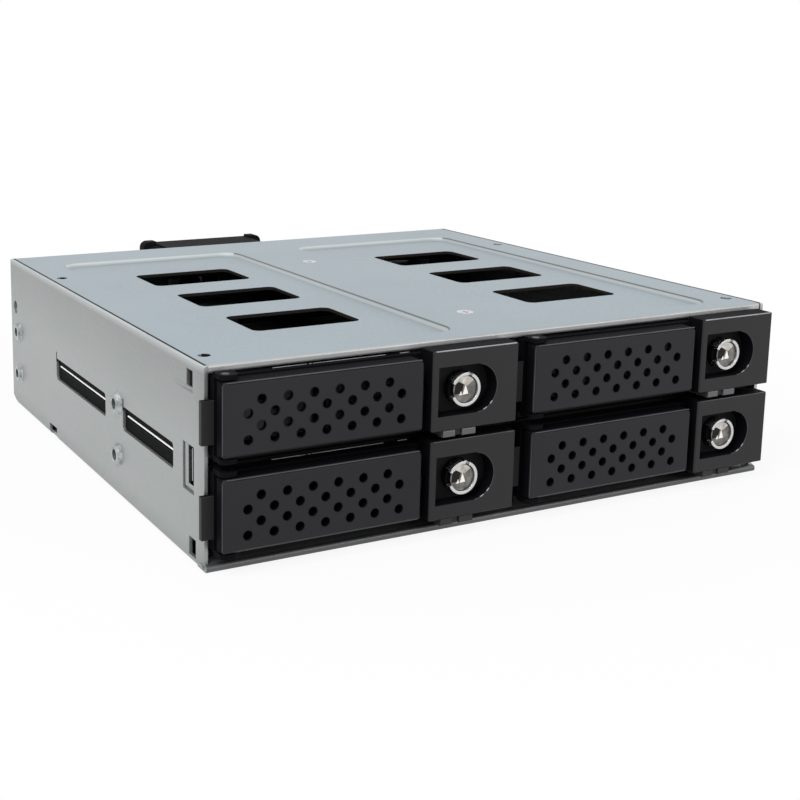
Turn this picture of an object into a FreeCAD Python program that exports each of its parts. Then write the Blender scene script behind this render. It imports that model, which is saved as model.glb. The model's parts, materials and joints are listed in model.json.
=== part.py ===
import FreeCAD, Part
import math
import os

# Hot swap drive cage: a half-height drive bay module that holds four 2.5 inch
# drives in four pull-out trays, two across and two high.
# Millimetres. X runs right along the front, Y runs back into the bay, Z is up.
# The pieces are modelled with Y = 0 on the front edge of the casing, and moved
# at the end so that the origin is under the middle of the whole object.
Vector = FreeCAD.Vector

# ---- casing ---------------------------------------------------------------
WIDTH = 146.0            # across the side walls
HEIGHT = 41.3            # half-height bay
DEPTH = 133.4            # front edge of the casing to its back
SHEET = 0.8              # steel sheet
BEND = 1.4               # outside radius of the folds along the base
SEAM = 0.25              # gap between the cover and the side walls
ROLL_LENGTH = 3.2        # front strip of each wall that is rolled inwards
ROLL_INSET = 0.5         # how far that strip comes in at its front edge
LIP_REACH = 1.2          # hemmed front lip of the base, ahead of the walls
LIP_THICK = 1.5
COVER_INSET = 0.2        # front edge of the cover, behind the wall edges
COVER_HEM = 4.0          # width of the folded-under strip at the cover's front
CORNER_CUT = 5.0         # chamfer at the lower back corner of each wall
CORNER_RISE = 2.2

# ---- side wall openings ----------------------------------------------------
MOUNT_FRONT = 47.0       # first side screw hole, from the casing's front edge
MOUNT_SPACING = 79.25    # standard spacing along the wall
MOUNT_LOW = 10.0         # height of the lower row
MOUNT_RISE = 11.84       # lower row to upper row
THREAD_RADIUS = 1.25     # M3 tapping size
BOSS_RADIUS = 2.9        # foot of each extruded screw hole
BOSS_TIP = 2.1
BOSS_REACH = 0.9         # how far it stands out of the wall
SCREW_ROOM = 0.5         # kept clear round a side screw inside the cage
SLOT_LOW = 16.6          # the two long slots
SLOT_HEIGHT = 5.5
SLOT_RADIUS = 0.8
SLOT_RUNS = ((14.3, 29.3), (54.9, 37.2))           # start, length
WALL_WINDOWS = ((4.3, 3.0, 35.8, 3.6), (3.8, 5.5, 14.4, 9.8), (2.9, 3.4, 1.6, 3.8))
NOTCH_START = 92.8       # notch in the lower edge of each wall
NOTCH_LENGTH = 6.2
NOTCH_HEIGHT = 3.2
KEEPER_HOLE = (129.2, 28.3)                        # holds the rear panel's flange
KEEPER_RADIUS = 1.8
RAMP_LENGTH = 9.3        # lead-in pressed below the upper front window
RAMP_DEPTH = 0.45

# ---- cover ------------------------------------------------------------------
DISH_WIDTH = 52.9        # stamped depressions
DISH_START = 5.5
DISH_LENGTH = 114.2
DISH_DEPTH = 1.0
DISH_SLOPE = 1.0         # run of the sloping wall
DISH_RADIUS = 5.0
DISH_PITCH = 72.4
DISH_SHIFT = -0.5        # the pair sits this far off the centre line
VENT_WIDTH = 26.8        # three cut-outs in each depression
VENT_LENGTH = 16.4
VENT_START = 26.6
VENT_STEP = 28.35
VENT_RADIUS = 2.0
VENT_PITCH = 73.6
VENT_SHIFT = 1.5
PILOT_RADIUS = 1.3       # small open holes near the cover's edges
PILOT_EDGE = 4.1         # from the side of the casing
PILOT_RUNS = (8.0, 99.0)
SCREW_RUNS = (21.0, 95.5)                          # screws along the middle
SCREW_OFFSET = 2.0       # from the centre line, over the divider's flange
SCREW_RADIUS = 1.0
SCREW_HEAD = 2.0

# ---- inner frame -------------------------------------------------------------
DIVIDER = 0.8            # sheet of the centre divider
ROW_MARGIN = 3.2         # height of the casing that is outside the two rows
SHELF_RISE = 0.95        # underside of the shelf, above the foot of the upper row
SHELF_FRONT = 2.0
LAP = 60.0               # where divider and shelf pass through each other
LAP_FIT = 0.05
DIVIDER_FRONT = 1.0
DIVIDER_WINDOWS = (20.0, 68.0)
DIVIDER_WINDOW = 34.0    # length of each window
DIVIDER_EDGE = 5.2       # sheet left above and below a window
GUIDE_THICK = 0.4        # plastic strips behind the side slots
GUIDE_MARGIN = 0.9       # how far each reaches past its slot
GUIDE_BEAD = 0.3
GUIDE_BEAD_RISE = 3.0    # middle of the bead, above the foot of the slot
FLANGE = 5.0             # top flange of the divider
BOARD_SPACE = 17.4       # from the board's front face to the casing's back
BOARD_THICK = 1.6
BOARD_GAP = 0.6          # from the board's edges to the casing
BOARD_SLOT = 16.0        # air slots in the board: length, height
BOARD_SLOT_HEIGHT = 5.0
BOARD_SLOT_PITCH = 24.0
RUNNER_WIDTH = 2.0
RUNNER_START = 6.0
SLIDE_GAP = 0.2          # running gap under the sleds

# ---- fan ---------------------------------------------------------------------
FAN_SIZE = 40.0
FAN_DEPTH = 20.0
FAN_CENTRE = -6.5        # across, from the middle of the cage
FAN_WALL = 1.0           # thinnest part of the duct
FAN_FLANGE = 3.5         # thickness of each square flange
FAN_SCREW_INSET = 4.0    # from the fan's edges to its screws
FAN_CORNER = 4.2         # flange corners standing proud of the edges between
FAN_RELIEF = 0.6
FAN_SCREW_RADIUS = 1.4
FAN_SCREW_HEAD = 2.5
FAN_SEAT = 3.0           # depth of the motor seat and its spokes
HUB_RADIUS = 8.5
BLADE_GAP = 0.7          # from the blade tips to the duct
BLADE_CHORD = 10.0
BLADE_THICK = 0.8
BLADE_ANGLE = 32.0
BLADES = 7
ROTOR_INSET = 3.0        # rotor behind the duct's mouth
FAN_SHAFT = 1.0
SHAFT_REACH = 2.0        # shaft standing out of the hub, into the seat
HUB_CHAMFER = 0.8
BLADE_ROOT = 2.0         # how deep a blade starts inside the hub
RUNNING_GAP = 0.5        # between the rotor and the motor seat
RUNNING_FIT = 0.05

# ---- tray front --------------------------------------------------------------
# u is measured across from the middle of a bay, v up from the foot of its row.
FRONT_REACH = 5.6        # face of the lever and lock block, ahead of the casing
PLATE_FRONT = -1.5       # the plate behind them
PLATE_BACK = 1.2
PLATE_LEFT = 1.1         # from the bay's left side
PLATE_RIGHT = 2.1
PLATE_TOP = 1.3          # above the foot of the next row
FRONT_FOOT = 4.35        # lower edge of the plate and lock block
TAB_REACH = 1.5          # stop that rests against the casing's front edge
TAB_LAP = 0.8            # its overlap on the plate
TAB_V = (7.0, 15.8)
TAB_GAP = 0.3
BLOCK_WIDTH = 21.1
BLOCK_RIGHT = 2.8        # from the bay's right side
BLOCK_TOP = 2.3
RECESS_SIDE = 1.5        # flat side of the D-shaped finger recess, from the block's left side
RECESS_MIDDLE = 10.9     # centre of its round side
RECESS_RADIUS = 5.2
RECESS_DEPTH = 3.6
RECESS_DROP = 0.2        # below the middle of the block
LEVER_LEFT = 1.0
LEVER_GAP = 1.9          # to the lock block
LEVER_FOOT = 5.15
LEVER_TOP = 1.0
LEVER_BACK = -1.8
LEVER_WALL = 1.2
LEVER_RIM = 1.0
PIN_INSET = 1.6          # hinge pin, from the lever's left end
PIN_Y = -3.4
PIN_RADIUS = 0.8
KNUCKLE = 1.6
EAR_GAP = 0.3
EAR_THICK = 1.0
EAR_REACH = 2.3          # past the pin
HOLE_RADIUS = 1.05       # perforations of the lever
HOLE_START = 5.44        # first column, from the lever's left end
HOLE_STEP = 2.845        # half the spacing within a row
HOLE_DROP = 3.82         # first row, below the lever's upper edge
HOLE_ROW = 2.62
HOLE_COLUMNS = 13
AIR_INSET = 4.4          # air windows in the plate behind the lever
AIR_EDGE = 1.9
AIR_RIB = 1.6
PIPE_FOOT = 2.8          # light pipes under the lock block
PIPE_RUNS = ((3.1, 2.9), (7.8, 3.3))               # from the block's left side, width
PIPE_SET_BACK = 0.2

# ---- lock ---------------------------------------------------------------------
LOCK_ACROSS = 8.8        # axis of the lock, from the block's left side
LOCK_DROP = 0.45         # below the middle of the block
LOCK_RADIUS = 2.87
LOCK_FIT = 0.08
RING_OUTER = 3.6
RING_FACE = -4.9
LOCK_FACE = -4.5
RING_GAP = 50.0          # degrees left open on the lever's side
CAM_RADIUS = 1.5
CAM_THROW = 1.0
CAM_CLEARANCE = 0.35
CAM_BACK = 0.8
BOLT_GAP = 0.3
BOLT_REACH = 1.5         # how far its nose stands out of the block
BOLT_TAIL = 14.5
BOLT_HALF = 3.4          # half height of the bolt
BOLT_Y = (-0.35, 0.9)
NOSE_WIDTH = 1.0
NOSE_HALF = 1.5
NOSE_FRONT = -3.4
KEY_WIDTH = 0.7
KEY_LENGTH = 3.4
KEY_DEPTH = 1.0

# ---- sled ---------------------------------------------------------------------
SLED_GAP = 0.9           # to the bay's sides
SLED_FLOOR = 2.4
SLED_SHEET = 0.8
BOARD_CLEARANCE = 12.0   # from the end of the sled to the board
SLED_HEEL = 1.0
BRACKET_HEIGHT = 6.2     # low part of the upright bracket
BRACKET_SIDE = 1.0       # its inset from the plate
BRACKET_TALL = (3.0, 18.0)                         # tall part, from the block's left side
BRACKET_DROP = 3.35      # its top, below the plate's
SLED_SLOT = (7.0, 32.0)  # slots in the floor: across, along
SLED_SLOTS_ACROSS = 4
SLED_SLOTS_ALONG = 2
DRIVE_HOLES_ACROSS = 61.72
DRIVE_HOLES_ALONG = 76.6
DRIVE_HOLE_END = 10.0     # from the back of the sled
DRIVE_HOLE_RADIUS = 1.6

# ---- connectors ----------------------------------------------------------------
PLUG_WIDTH = 42.0
PLUG_HEIGHT = 5.2
PLUG_LENGTH = 10.4
PLUG_FOOT = 2.2          # above the sled's floor
PORT_SIZE = (15.0, 6.4)
PORT_COLUMNS = (29.0, 51.0)
INLET_SIZE = (24.0, 8.0)
INLET_COLUMN = -50.0
PORT_SPREAD = 8.25       # rows of sockets, above and below the middle
PORT_WINDOW_GAP = 0.3
PORT_PROUD = 0.5
STANDOFF_RADIUS = 2.2
STANDOFF_INSET = (6.2, 4.6)

# ---- worked out from the sizes above ---------------------------------------------
HALF = WIDTH / 2
INNER = HALF - SHEET                               # inner face of a side wall
BAY_HALF = (INNER - DIVIDER / 2) / 2
BAY_MIDDLE = BAY_HALF + DIVIDER / 2
ROW_PITCH = (HEIGHT - ROW_MARGIN) / 2
BAYS = (("left", -BAY_MIDDLE), ("right", BAY_MIDDLE))
ROWS = (("lower", 0.0), ("upper", ROW_PITCH))
SHELF_BOTTOM = ROW_PITCH + SHELF_RISE
SHELF_TOP = SHELF_BOTTOM + SHEET
CEILING = HEIGHT - SHEET                           # underside of the cover
BACK_FACE = DEPTH - SHEET                          # inner face of the rear panel
BOARD_FACE = DEPTH - BOARD_SPACE
BOARD_BACK = BOARD_FACE + BOARD_THICK
FAN_MIDDLE = HEIGHT / 2
FAN_BORE = FAN_SIZE / 2 - FAN_WALL
FAN_SCREW_PITCH = FAN_SIZE - 2 * FAN_SCREW_INSET
BLADE_RADIUS = FAN_BORE - BLADE_GAP
MOUNT_HEIGHTS = (MOUNT_LOW, MOUNT_LOW + MOUNT_RISE)
MOUNT_PLACES = (MOUNT_FRONT, MOUNT_FRONT + MOUNT_SPACING)
OBJECT_FRONT = -FRONT_REACH
OBJECT_BACK = DEPTH + FAN_DEPTH
ORIGIN_Y = (OBJECT_FRONT + OBJECT_BACK) / 2
PLATE_U = (-BAY_HALF + PLATE_LEFT, BAY_HALF - PLATE_RIGHT)
PLATE_V = (FRONT_FOOT, ROW_PITCH + PLATE_TOP)
TAB_U = (-BAY_HALF - TAB_REACH, PLATE_U[0] + TAB_LAP)
BLOCK_U = (BAY_HALF - BLOCK_RIGHT - BLOCK_WIDTH, BAY_HALF - BLOCK_RIGHT)
BLOCK_V = (FRONT_FOOT, ROW_PITCH + BLOCK_TOP)
BLOCK_MIDDLE = (BLOCK_V[0] + BLOCK_V[1]) / 2
RECESS_CENTRE = (BLOCK_U[0] + RECESS_MIDDLE, BLOCK_MIDDLE - RECESS_DROP)
RECESS_FLOOR = -FRONT_REACH + RECESS_DEPTH
LEVER_U = (-BAY_HALF + LEVER_LEFT, BLOCK_U[0] - LEVER_GAP)
LEVER_V = (LEVER_FOOT, ROW_PITCH + LEVER_TOP)
PIN = (LEVER_U[0] + PIN_INSET, PIN_Y)
EAR_U = (PLATE_U[0], PIN[0] + EAR_REACH)
AIR_U = (LEVER_U[0] + AIR_INSET, LEVER_U[1] - AIR_EDGE)
AIR_V = (LEVER_V[0] + AIR_EDGE, LEVER_V[1] - AIR_EDGE)
LOCK = (BLOCK_U[0] + LOCK_ACROSS, BLOCK_MIDDLE - LOCK_DROP)
RING_INNER = LOCK_RADIUS + LOCK_FIT
BOLT_U = (BLOCK_U[0] - BOLT_REACH, BLOCK_U[0] + BOLT_TAIL)
BOLT_V = (LOCK[1] - CAM_THROW / 2 - BOLT_HALF, LOCK[1] - CAM_THROW / 2 + BOLT_HALF)
NOSE_V = (LOCK[1] - NOSE_HALF, LOCK[1] + NOSE_HALF)
PIPE_V = (PIPE_FOOT, FRONT_FOOT)
SLED_HALF = BAY_HALF - SLED_GAP
SLED_START = PLATE_BACK + SLED_SHEET
SLED_END = BOARD_FACE - BOARD_CLEARANCE
PLUG_V = SLED_FLOOR + PLUG_FOOT
PORT_ROWS = (FAN_MIDDLE - PORT_SPREAD, FAN_MIDDLE + PORT_SPREAD)


def box(x0, x1, y0, y1, z0, z1):
    """A block between two corners."""
    return Part.makeBox(x1 - x0, y1 - y0, z1 - z0, Vector(x0, y0, z0))


def rod(radius, start, along):
    """A round bar from a start point along a vector."""
    return Part.makeCylinder(radius, along.Length, start, along)


def edges_along(shape, axis, keep=None):
    """Straight edges parallel to one axis, filtered by their middle point."""
    found = []
    for edge in shape.Edges:
        span = edge.BoundBox
        lengths = [span.XLength, span.YLength, span.ZLength]
        own = lengths.pop(axis)
        if own > 1e-6 and max(lengths) < 1e-6:
            if keep is None or keep(span.Center):
                found.append(edge)
    return found


def soften(shape, radius, axis, keep=None):
    """Round the edges that run along one axis."""
    return shape.makeFillet(radius, edges_along(shape, axis, keep))


def rounded(block, radius, axis):
    """A block with its four edges along one axis rounded."""
    return soften(block, radius, axis)


def both_sides(shape):
    """A shape and its mirror image across the middle plane."""
    return [shape, shape.mirror(Vector(0, 0, 0), Vector(1, 0, 0))]


def placed(shape, x, y, z):
    moved = shape.copy()
    moved.translate(Vector(x, y, z))
    return moved


# ---- casing ---------------------------------------------------------------------
def rolled_strip():
    """Front strip of the left wall, curving inwards to the front edge."""
    radius = (ROLL_LENGTH ** 2 + ROLL_INSET ** 2) / (2 * ROLL_INSET)
    centre = Vector(-HALF + radius, ROLL_LENGTH, LIP_THICK)
    up = Vector(0, 0, HEIGHT - LIP_THICK)
    shell = rod(radius, centre, up).cut(rod(radius - SHEET, centre, up))
    reach = box(-HALF, -HALF + ROLL_INSET + 2 * SHEET, 0, ROLL_LENGTH, LIP_THICK, HEIGHT)
    return shell.common(reach)


def wall_cutters():
    """Everything cut through the left wall."""
    cutters = []
    x0 = -HALF - 1
    x1 = -INNER + 0.1
    for start, length in SLOT_RUNS:
        slot = box(x0, x1, start, start + length, SLOT_LOW, SLOT_LOW + SLOT_HEIGHT)
        cutters.append(rounded(slot, SLOT_RADIUS, 0))
    for start, length, low, height in WALL_WINDOWS:
        cutters.append(box(x0, x1, start, start + length, low, low + height))
    cutters.append(box(x0, x1, NOTCH_START, NOTCH_START + NOTCH_LENGTH, -1, NOTCH_HEIGHT))
    cutters.append(rod(KEEPER_RADIUS, Vector(x0, *KEEPER_HOLE), Vector(x1 - x0, 0, 0)))
    corner = Part.makePolygon([
        Vector(x0, DEPTH - CORNER_CUT, -1), Vector(x0, DEPTH + 1, -1),
        Vector(x0, DEPTH + 1, CORNER_RISE), Vector(x0, DEPTH, CORNER_RISE),
        Vector(x0, DEPTH - CORNER_CUT, 0), Vector(x0, DEPTH - CORNER_CUT, -1)])
    cutters.append(Part.Face(corner).extrude(Vector(x1 - x0 + BEND, 0, 0)))
    start, length, low, height = WALL_WINDOWS[0]
    ramp = Part.makePolygon([
        Vector(-HALF, start + RAMP_LENGTH, low - 0.8), Vector(-HALF - 1, start + RAMP_LENGTH, low - 0.8),
        Vector(-HALF - 1, start, low - 0.8), Vector(-HALF + RAMP_DEPTH, start, low - 0.8),
        Vector(-HALF, start + RAMP_LENGTH, low - 0.8)])
    cutters.append(Part.Face(ramp).extrude(Vector(0, 0, 1.0)))
    return cutters


def mount_places():
    return [(y, z) for y in MOUNT_PLACES for z in MOUNT_HEIGHTS]


def base_pan():
    """Base and side walls folded from one sheet."""
    outside = box(-HALF, HALF, 0, DEPTH, 0, HEIGHT)
    outside = soften(outside, BEND, 1, lambda p: p.z < 1)
    inside = box(-INNER, INNER, -1, DEPTH + 1, SHEET, HEIGHT + 1)
    inside = soften(inside, BEND - SHEET, 1, lambda p: p.z < 1)
    pan = outside.cut(inside)
    pan = pan.cut(box(-HALF - 1, HALF + 1, -1, ROLL_LENGTH, LIP_THICK, HEIGHT + 1))
    lip = box(-HALF + ROLL_INSET, HALF - ROLL_INSET, -LIP_REACH, ROLL_LENGTH, 0, LIP_THICK)
    lip = soften(lip, 0.6, 0, lambda p: p.y < 0)
    pieces = [lip]
    for strip in both_sides(rolled_strip()):
        pieces.append(strip)
    boss = Part.makeCone(BOSS_RADIUS, BOSS_TIP, BOSS_REACH, Vector(-HALF, 0, 0), Vector(-1, 0, 0))
    for y, z in mount_places():
        pieces.extend(both_sides(placed(boss, 0, y, z)))
    pan = pan.fuse(pieces)
    cutters = []
    for cutter in wall_cutters():
        cutters.extend(both_sides(cutter))
    for y, z in mount_places():
        bore = rod(THREAD_RADIUS, Vector(-HALF - 2, y, z), Vector(2 + 2 * SHEET, 0, 0))
        cutters.extend(both_sides(bore))
    pan = pan.cut(cutters)
    pan = pan.removeSplitter()
    return soften(pan, 0.35, 1, lambda p: p.z > HEIGHT - 0.01 and abs(p.x) > HALF - 0.01)


def rounded_wire(x0, x1, y0, y1, z, radius):
    face = rounded(box(x0, x1, y0, y1, z, z + 1), radius, 2)
    low = [f for f in face.Faces if abs(f.BoundBox.ZMax - z) < 1e-6]
    return low[0].OuterWire


def dish(x, top, thick):
    """A tapering block: the space inside, or the metal outside, of a depression."""
    grow = DISH_SLOPE + thick
    x0 = x - DISH_WIDTH / 2 - thick
    x1 = x + DISH_WIDTH / 2 + thick
    y0 = DISH_START - thick
    y1 = DISH_START + DISH_LENGTH + thick
    upper = rounded_wire(x0, x1, y0, y1, top, DISH_RADIUS + thick)
    lower = rounded_wire(x0 + DISH_SLOPE, x1 - DISH_SLOPE, y0 + DISH_SLOPE, y1 - DISH_SLOPE,
                         top - DISH_DEPTH, DISH_RADIUS + thick - DISH_SLOPE * 0.5)
    return Part.makeLoft([lower, upper], True, True), grow


def dish_centres():
    return [DISH_SHIFT - DISH_PITCH / 2, DISH_SHIFT + DISH_PITCH / 2]


def vent_boxes(z0, z1):
    """The six cut-outs, as rounded blocks."""
    vents = []
    for side in (-1, 1):
        x0 = VENT_SHIFT + side * VENT_PITCH / 2 - VENT_WIDTH / 2
        for step in range(3):
            y0 = VENT_START + step * VENT_STEP
            block = box(x0, x0 + VENT_WIDTH, y0, y0 + VENT_LENGTH, z0, z1)
            vents.append(rounded(block, VENT_RADIUS, 2))
    return vents


def top_cover():
    """Flat cover between the walls, with two stamped depressions."""
    edge = INNER - SEAM
    sheet = box(-edge, edge, COVER_INSET, DEPTH, CEILING, HEIGHT)
    hem = box(-edge, edge, COVER_INSET, COVER_INSET + COVER_HEM, CEILING - SHEET, CEILING)
    cover = sheet.fuse(hem).removeSplitter()
    cover = soften(cover, 0.5, 0, lambda p: p.y < COVER_INSET + 0.01)
    for x in dish_centres():
        outer, _ = dish(x, CEILING, SHEET / 2)
        cover = cover.fuse(outer)
    for x in dish_centres():
        inner, _ = dish(x, HEIGHT, 0.0)
        cover = cover.cut(inner)
    cutters = vent_boxes(CEILING - 2, HEIGHT + 1)
    corner = box(-HALF, -INNER + ROLL_INSET + SEAM / 2, -1, ROLL_LENGTH / 2, CEILING - 2, HEIGHT + 1)
    cutters.extend(both_sides(corner))
    for y in PILOT_RUNS:
        hole = rod(PILOT_RADIUS, Vector(-HALF + PILOT_EDGE, y, CEILING - 2), Vector(0, 0, 4))
        cutters.extend(both_sides(hole))
    for y in SCREW_RUNS:
        cutters.append(rod(SCREW_RADIUS + RUNNING_FIT, Vector(SCREW_OFFSET, y, CEILING - 1), Vector(0, 0, 3)))
        cutters.append(Part.makeCone(SCREW_RADIUS + RUNNING_FIT, SCREW_HEAD + RUNNING_FIT, SHEET,
                                     Vector(SCREW_OFFSET, y, CEILING), Vector(0, 0, 1)))
    return cover.cut(cutters).removeSplitter()


def cover_screws():
    screws = []
    for y in SCREW_RUNS:
        head = Part.makeCone(SCREW_RADIUS, SCREW_HEAD, SHEET, Vector(SCREW_OFFSET, y, CEILING), Vector(0, 0, 1))
        shank = rod(SCREW_RADIUS, Vector(SCREW_OFFSET, y, CEILING - 2 * SHEET), Vector(0, 0, 2 * SHEET))
        cross = box(-1.1, 1.1, -0.2, 0.2, HEIGHT - 0.4, HEIGHT + 1)
        driver = cross.fuse(box(-0.2, 0.2, -1.1, 1.1, HEIGHT - 0.4, HEIGHT + 1))
        screws.append(head.fuse(shank).cut(placed(driver, SCREW_OFFSET, y, 0)))
    return Part.makeCompound(screws)


# ---- inner frame ------------------------------------------------------------------
def mid_shelf():
    """Sheet between the two rows, slotted at the back to pass the divider."""
    half = INNER - GUIDE_THICK
    shelf = box(-half, half, SHELF_FRONT, BOARD_FACE, SHELF_BOTTOM, SHELF_TOP)
    gaps = [ROLL_LENGTH + LAP_FIT]
    for start, length in SLOT_RUNS:
        gaps.append(start - GUIDE_MARGIN)
        gaps.append(start + length + GUIDE_MARGIN)
    gaps.append(BOARD_FACE)
    tabs = []
    for start, end in zip(gaps[0::2], gaps[1::2]):
        tabs.extend(both_sides(box(-INNER, -half + 1, start, end, SHELF_BOTTOM, SHELF_TOP)))
    shelf = shelf.fuse(tabs).removeSplitter()
    slit = DIVIDER / 2 + LAP_FIT
    cutters = [box(-slit, slit, LAP, BOARD_FACE + 1, SHELF_BOTTOM - 1, SHELF_TOP + 1)]
    for y, z in mount_places():
        screw_room = rod(THREAD_RADIUS + SCREW_ROOM, Vector(-INNER - 1, y, z), Vector(4, 0, 0))
        cutters.extend(both_sides(screw_room))
    return shelf.cut(cutters)


def center_divider():
    """Upright sheet between the two columns, slotted at the front to pass the shelf."""
    half = DIVIDER / 2
    wall = box(-half, half, DIVIDER_FRONT, BOARD_FACE, SHEET, CEILING)
    flange = box(half, half + FLANGE, DISH_START + DISH_RADIUS, BOARD_FACE - FLANGE, CEILING - SHEET, CEILING)
    divider = wall.fuse(flange).removeSplitter()
    cutters = [box(-1, 1, 0, LAP, SHELF_BOTTOM - LAP_FIT, SHELF_TOP + LAP_FIT)]
    cutters.append(box(-1, 1, 0, ROLL_LENGTH + LAP_FIT, 0, LIP_THICK + LAP_FIT))
    cutters.append(box(-1, 1, 0, COVER_INSET + COVER_HEM + LAP_FIT, CEILING - SHEET - LAP_FIT, HEIGHT))
    for y in SCREW_RUNS:
        cutters.append(rod(SCREW_RADIUS + RUNNING_FIT, Vector(SCREW_OFFSET, y, CEILING - 3), Vector(0, 0, 4)))
    for low, high in ((SHEET, SHELF_BOTTOM), (SHELF_TOP, CEILING)):
        for start in DIVIDER_WINDOWS:
            cutters.append(box(-1, 1, start, start + DIVIDER_WINDOW, low + DIVIDER_EDGE, high - DIVIDER_EDGE))
    return divider.cut(cutters)


def side_guides():
    """Plastic strips that line the long slots, each with a bead along it."""
    strips = []
    for start, length in SLOT_RUNS:
        y0 = start - GUIDE_MARGIN
        y1 = start + length + GUIDE_MARGIN
        strip = box(-INNER, -INNER + GUIDE_THICK, y0, y1, SLOT_LOW - GUIDE_MARGIN,
                    SLOT_LOW + SLOT_HEIGHT + GUIDE_MARGIN)
        bead_low = SLOT_LOW + GUIDE_BEAD_RISE - GUIDE_BEAD / 2
        bead = box(-INNER - GUIDE_BEAD, -INNER, start + 1, start + length - 1,
                   bead_low, bead_low + GUIDE_BEAD)
        strips.extend(both_sides(strip.fuse(bead).removeSplitter()))
    return Part.makeCompound(strips)


def runner_rails():
    """Strips that the sleds slide on, two in each bay."""
    rails = []
    floors = (SHEET, SHELF_TOP)
    for _, x in BAYS:
        for floor, (_, foot) in zip(floors, ROWS):
            top = foot + SLED_FLOOR - SLIDE_GAP
            for side in (-1, 1):
                outer = x + side * SLED_HALF
                inner = outer - side * RUNNER_WIDTH
                rail = box(min(inner, outer), max(inner, outer), RUNNER_START, BOARD_FACE - 6, floor, top)
                rails.append(rail)
    return Part.makeCompound(rails)


def port_places():
    """Centre, width and height of each socket that passes the rear panel."""
    ports = [(x, z) + PORT_SIZE for x in PORT_COLUMNS for z in PORT_ROWS]
    inlets = [(INLET_COLUMN, z) + INLET_SIZE for z in PORT_ROWS]
    return ports, inlets


def fan_screw_places():
    half = FAN_SCREW_PITCH / 2
    return [(FAN_CENTRE + sx * half, FAN_MIDDLE + sz * half) for sx in (-1, 1) for sz in (-1, 1)]


def rear_panel():
    panel = box(-INNER, INNER, BACK_FACE, DEPTH, SHEET, CEILING)
    keeper_y, keeper_z = KEEPER_HOLE
    flange = box(-INNER, -INNER + SHEET, BACK_FACE - 7, BACK_FACE, keeper_z - 4.5, CEILING - 2)
    foot = box(-INNER + 12, INNER - 12, BACK_FACE - 7, BACK_FACE, SHEET, 2 * SHEET)
    panel = panel.fuse([foot] + both_sides(flange)).removeSplitter()
    cutters = [rod(FAN_BORE - 0.5, Vector(FAN_CENTRE, BACK_FACE - 1, FAN_MIDDLE), Vector(0, 3, 0))]
    keeper = rod(KEEPER_RADIUS - 0.5, Vector(-INNER - 1, keeper_y, keeper_z), Vector(3, 0, 0))
    cutters.extend(both_sides(keeper))
    ports, inlets = port_places()
    gap = PORT_WINDOW_GAP
    for x, z, width, height in ports + inlets:
        cutters.append(box(x - width / 2 - gap, x + width / 2 + gap, BACK_FACE - 1, DEPTH + 1,
                           z - height / 2 - gap, z + height / 2 + gap))
    for x, z in fan_screw_places():
        cutters.append(rod(FAN_SCREW_RADIUS + 0.3, Vector(x, BACK_FACE - 1, z), Vector(0, 3, 0)))
    return panel.cut(cutters)


def backplane_board():
    """Circuit board that carries the drive sockets, with air slots."""
    edge = INNER - BOARD_GAP
    board = box(-edge, edge, BOARD_FACE, BOARD_BACK, SHEET + BOARD_GAP, CEILING - DISH_DEPTH - BOARD_GAP)
    cutters = []
    for _, x in BAYS:
        for _, foot in ROWS:
            for side in (-1, 1):
                centre = x + side * BOARD_SLOT_PITCH / 2
                low = foot + PLUG_V + PLUG_HEIGHT + 1.5
                cutters.append(box(centre - BOARD_SLOT / 2, centre + BOARD_SLOT / 2, BOARD_FACE - 1, BOARD_BACK + 1,
                                   low, low + BOARD_SLOT_HEIGHT))
    return board.cut(cutters)


def board_standoffs():
    inset_x, inset_z = STANDOFF_INSET
    along = Vector(0, BACK_FACE - BOARD_BACK, 0)
    posts = []
    for z in (SHEET + inset_z, CEILING - inset_z):
        posts.extend(both_sides(rod(STANDOFF_RADIUS, Vector(-INNER + inset_x, BOARD_BACK, z), along)))
    return Part.makeCompound(posts)


def drive_connectors():
    """One socket per bay, with the stepped slit of a combined drive connector."""
    sockets = []
    for _, x in BAYS:
        for _, foot in ROWS:
            low = foot + PLUG_V
            front = BOARD_FACE - PLUG_LENGTH
            body = box(x - PLUG_WIDTH / 2, x + PLUG_WIDTH / 2, front, BOARD_FACE, low, low + PLUG_HEIGHT)
            slit = box(x - 18, x + 2, front - 1, front + 7, low + 2.0, low + 3.2)
            signal = box(x + 5, x + 17, front - 1, front + 7, low + 2.0, low + 3.2)
            key = box(x + 16, x + 17, front - 1, front + 7, low + 2.0, low + 4.2)
            sockets.append(body.cut([slit, signal, key]))
    return Part.makeCompound(sockets)


def rear_socket(x, z, width, height, wall):
    """A shrouded socket from the board to just past the rear panel."""
    end = DEPTH + PORT_PROUD
    shell = box(x - width / 2, x + width / 2, BOARD_BACK, end, z - height / 2, z + height / 2)
    hollow = box(x - width / 2 + wall, x + width / 2 - wall, end - 7, end + 1,
                 z - height / 2 + wall, z + height / 2 - wall)
    tongue = box(x - width / 2 + 2 * wall, x + width / 2 - 2 * wall, end - 7.5, end - 1, z - 0.6, z + 0.6)
    return shell.cut(hollow).fuse(tongue).removeSplitter()


def data_ports():
    ports, _ = port_places()
    return Part.makeCompound([rear_socket(x, z, width, height, 1.2) for x, z, width, height in ports])


def power_inlets():
    _, inlets = port_places()
    return Part.makeCompound([rear_socket(x, z, width, height, 1.5) for x, z, width, height in inlets])


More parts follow.
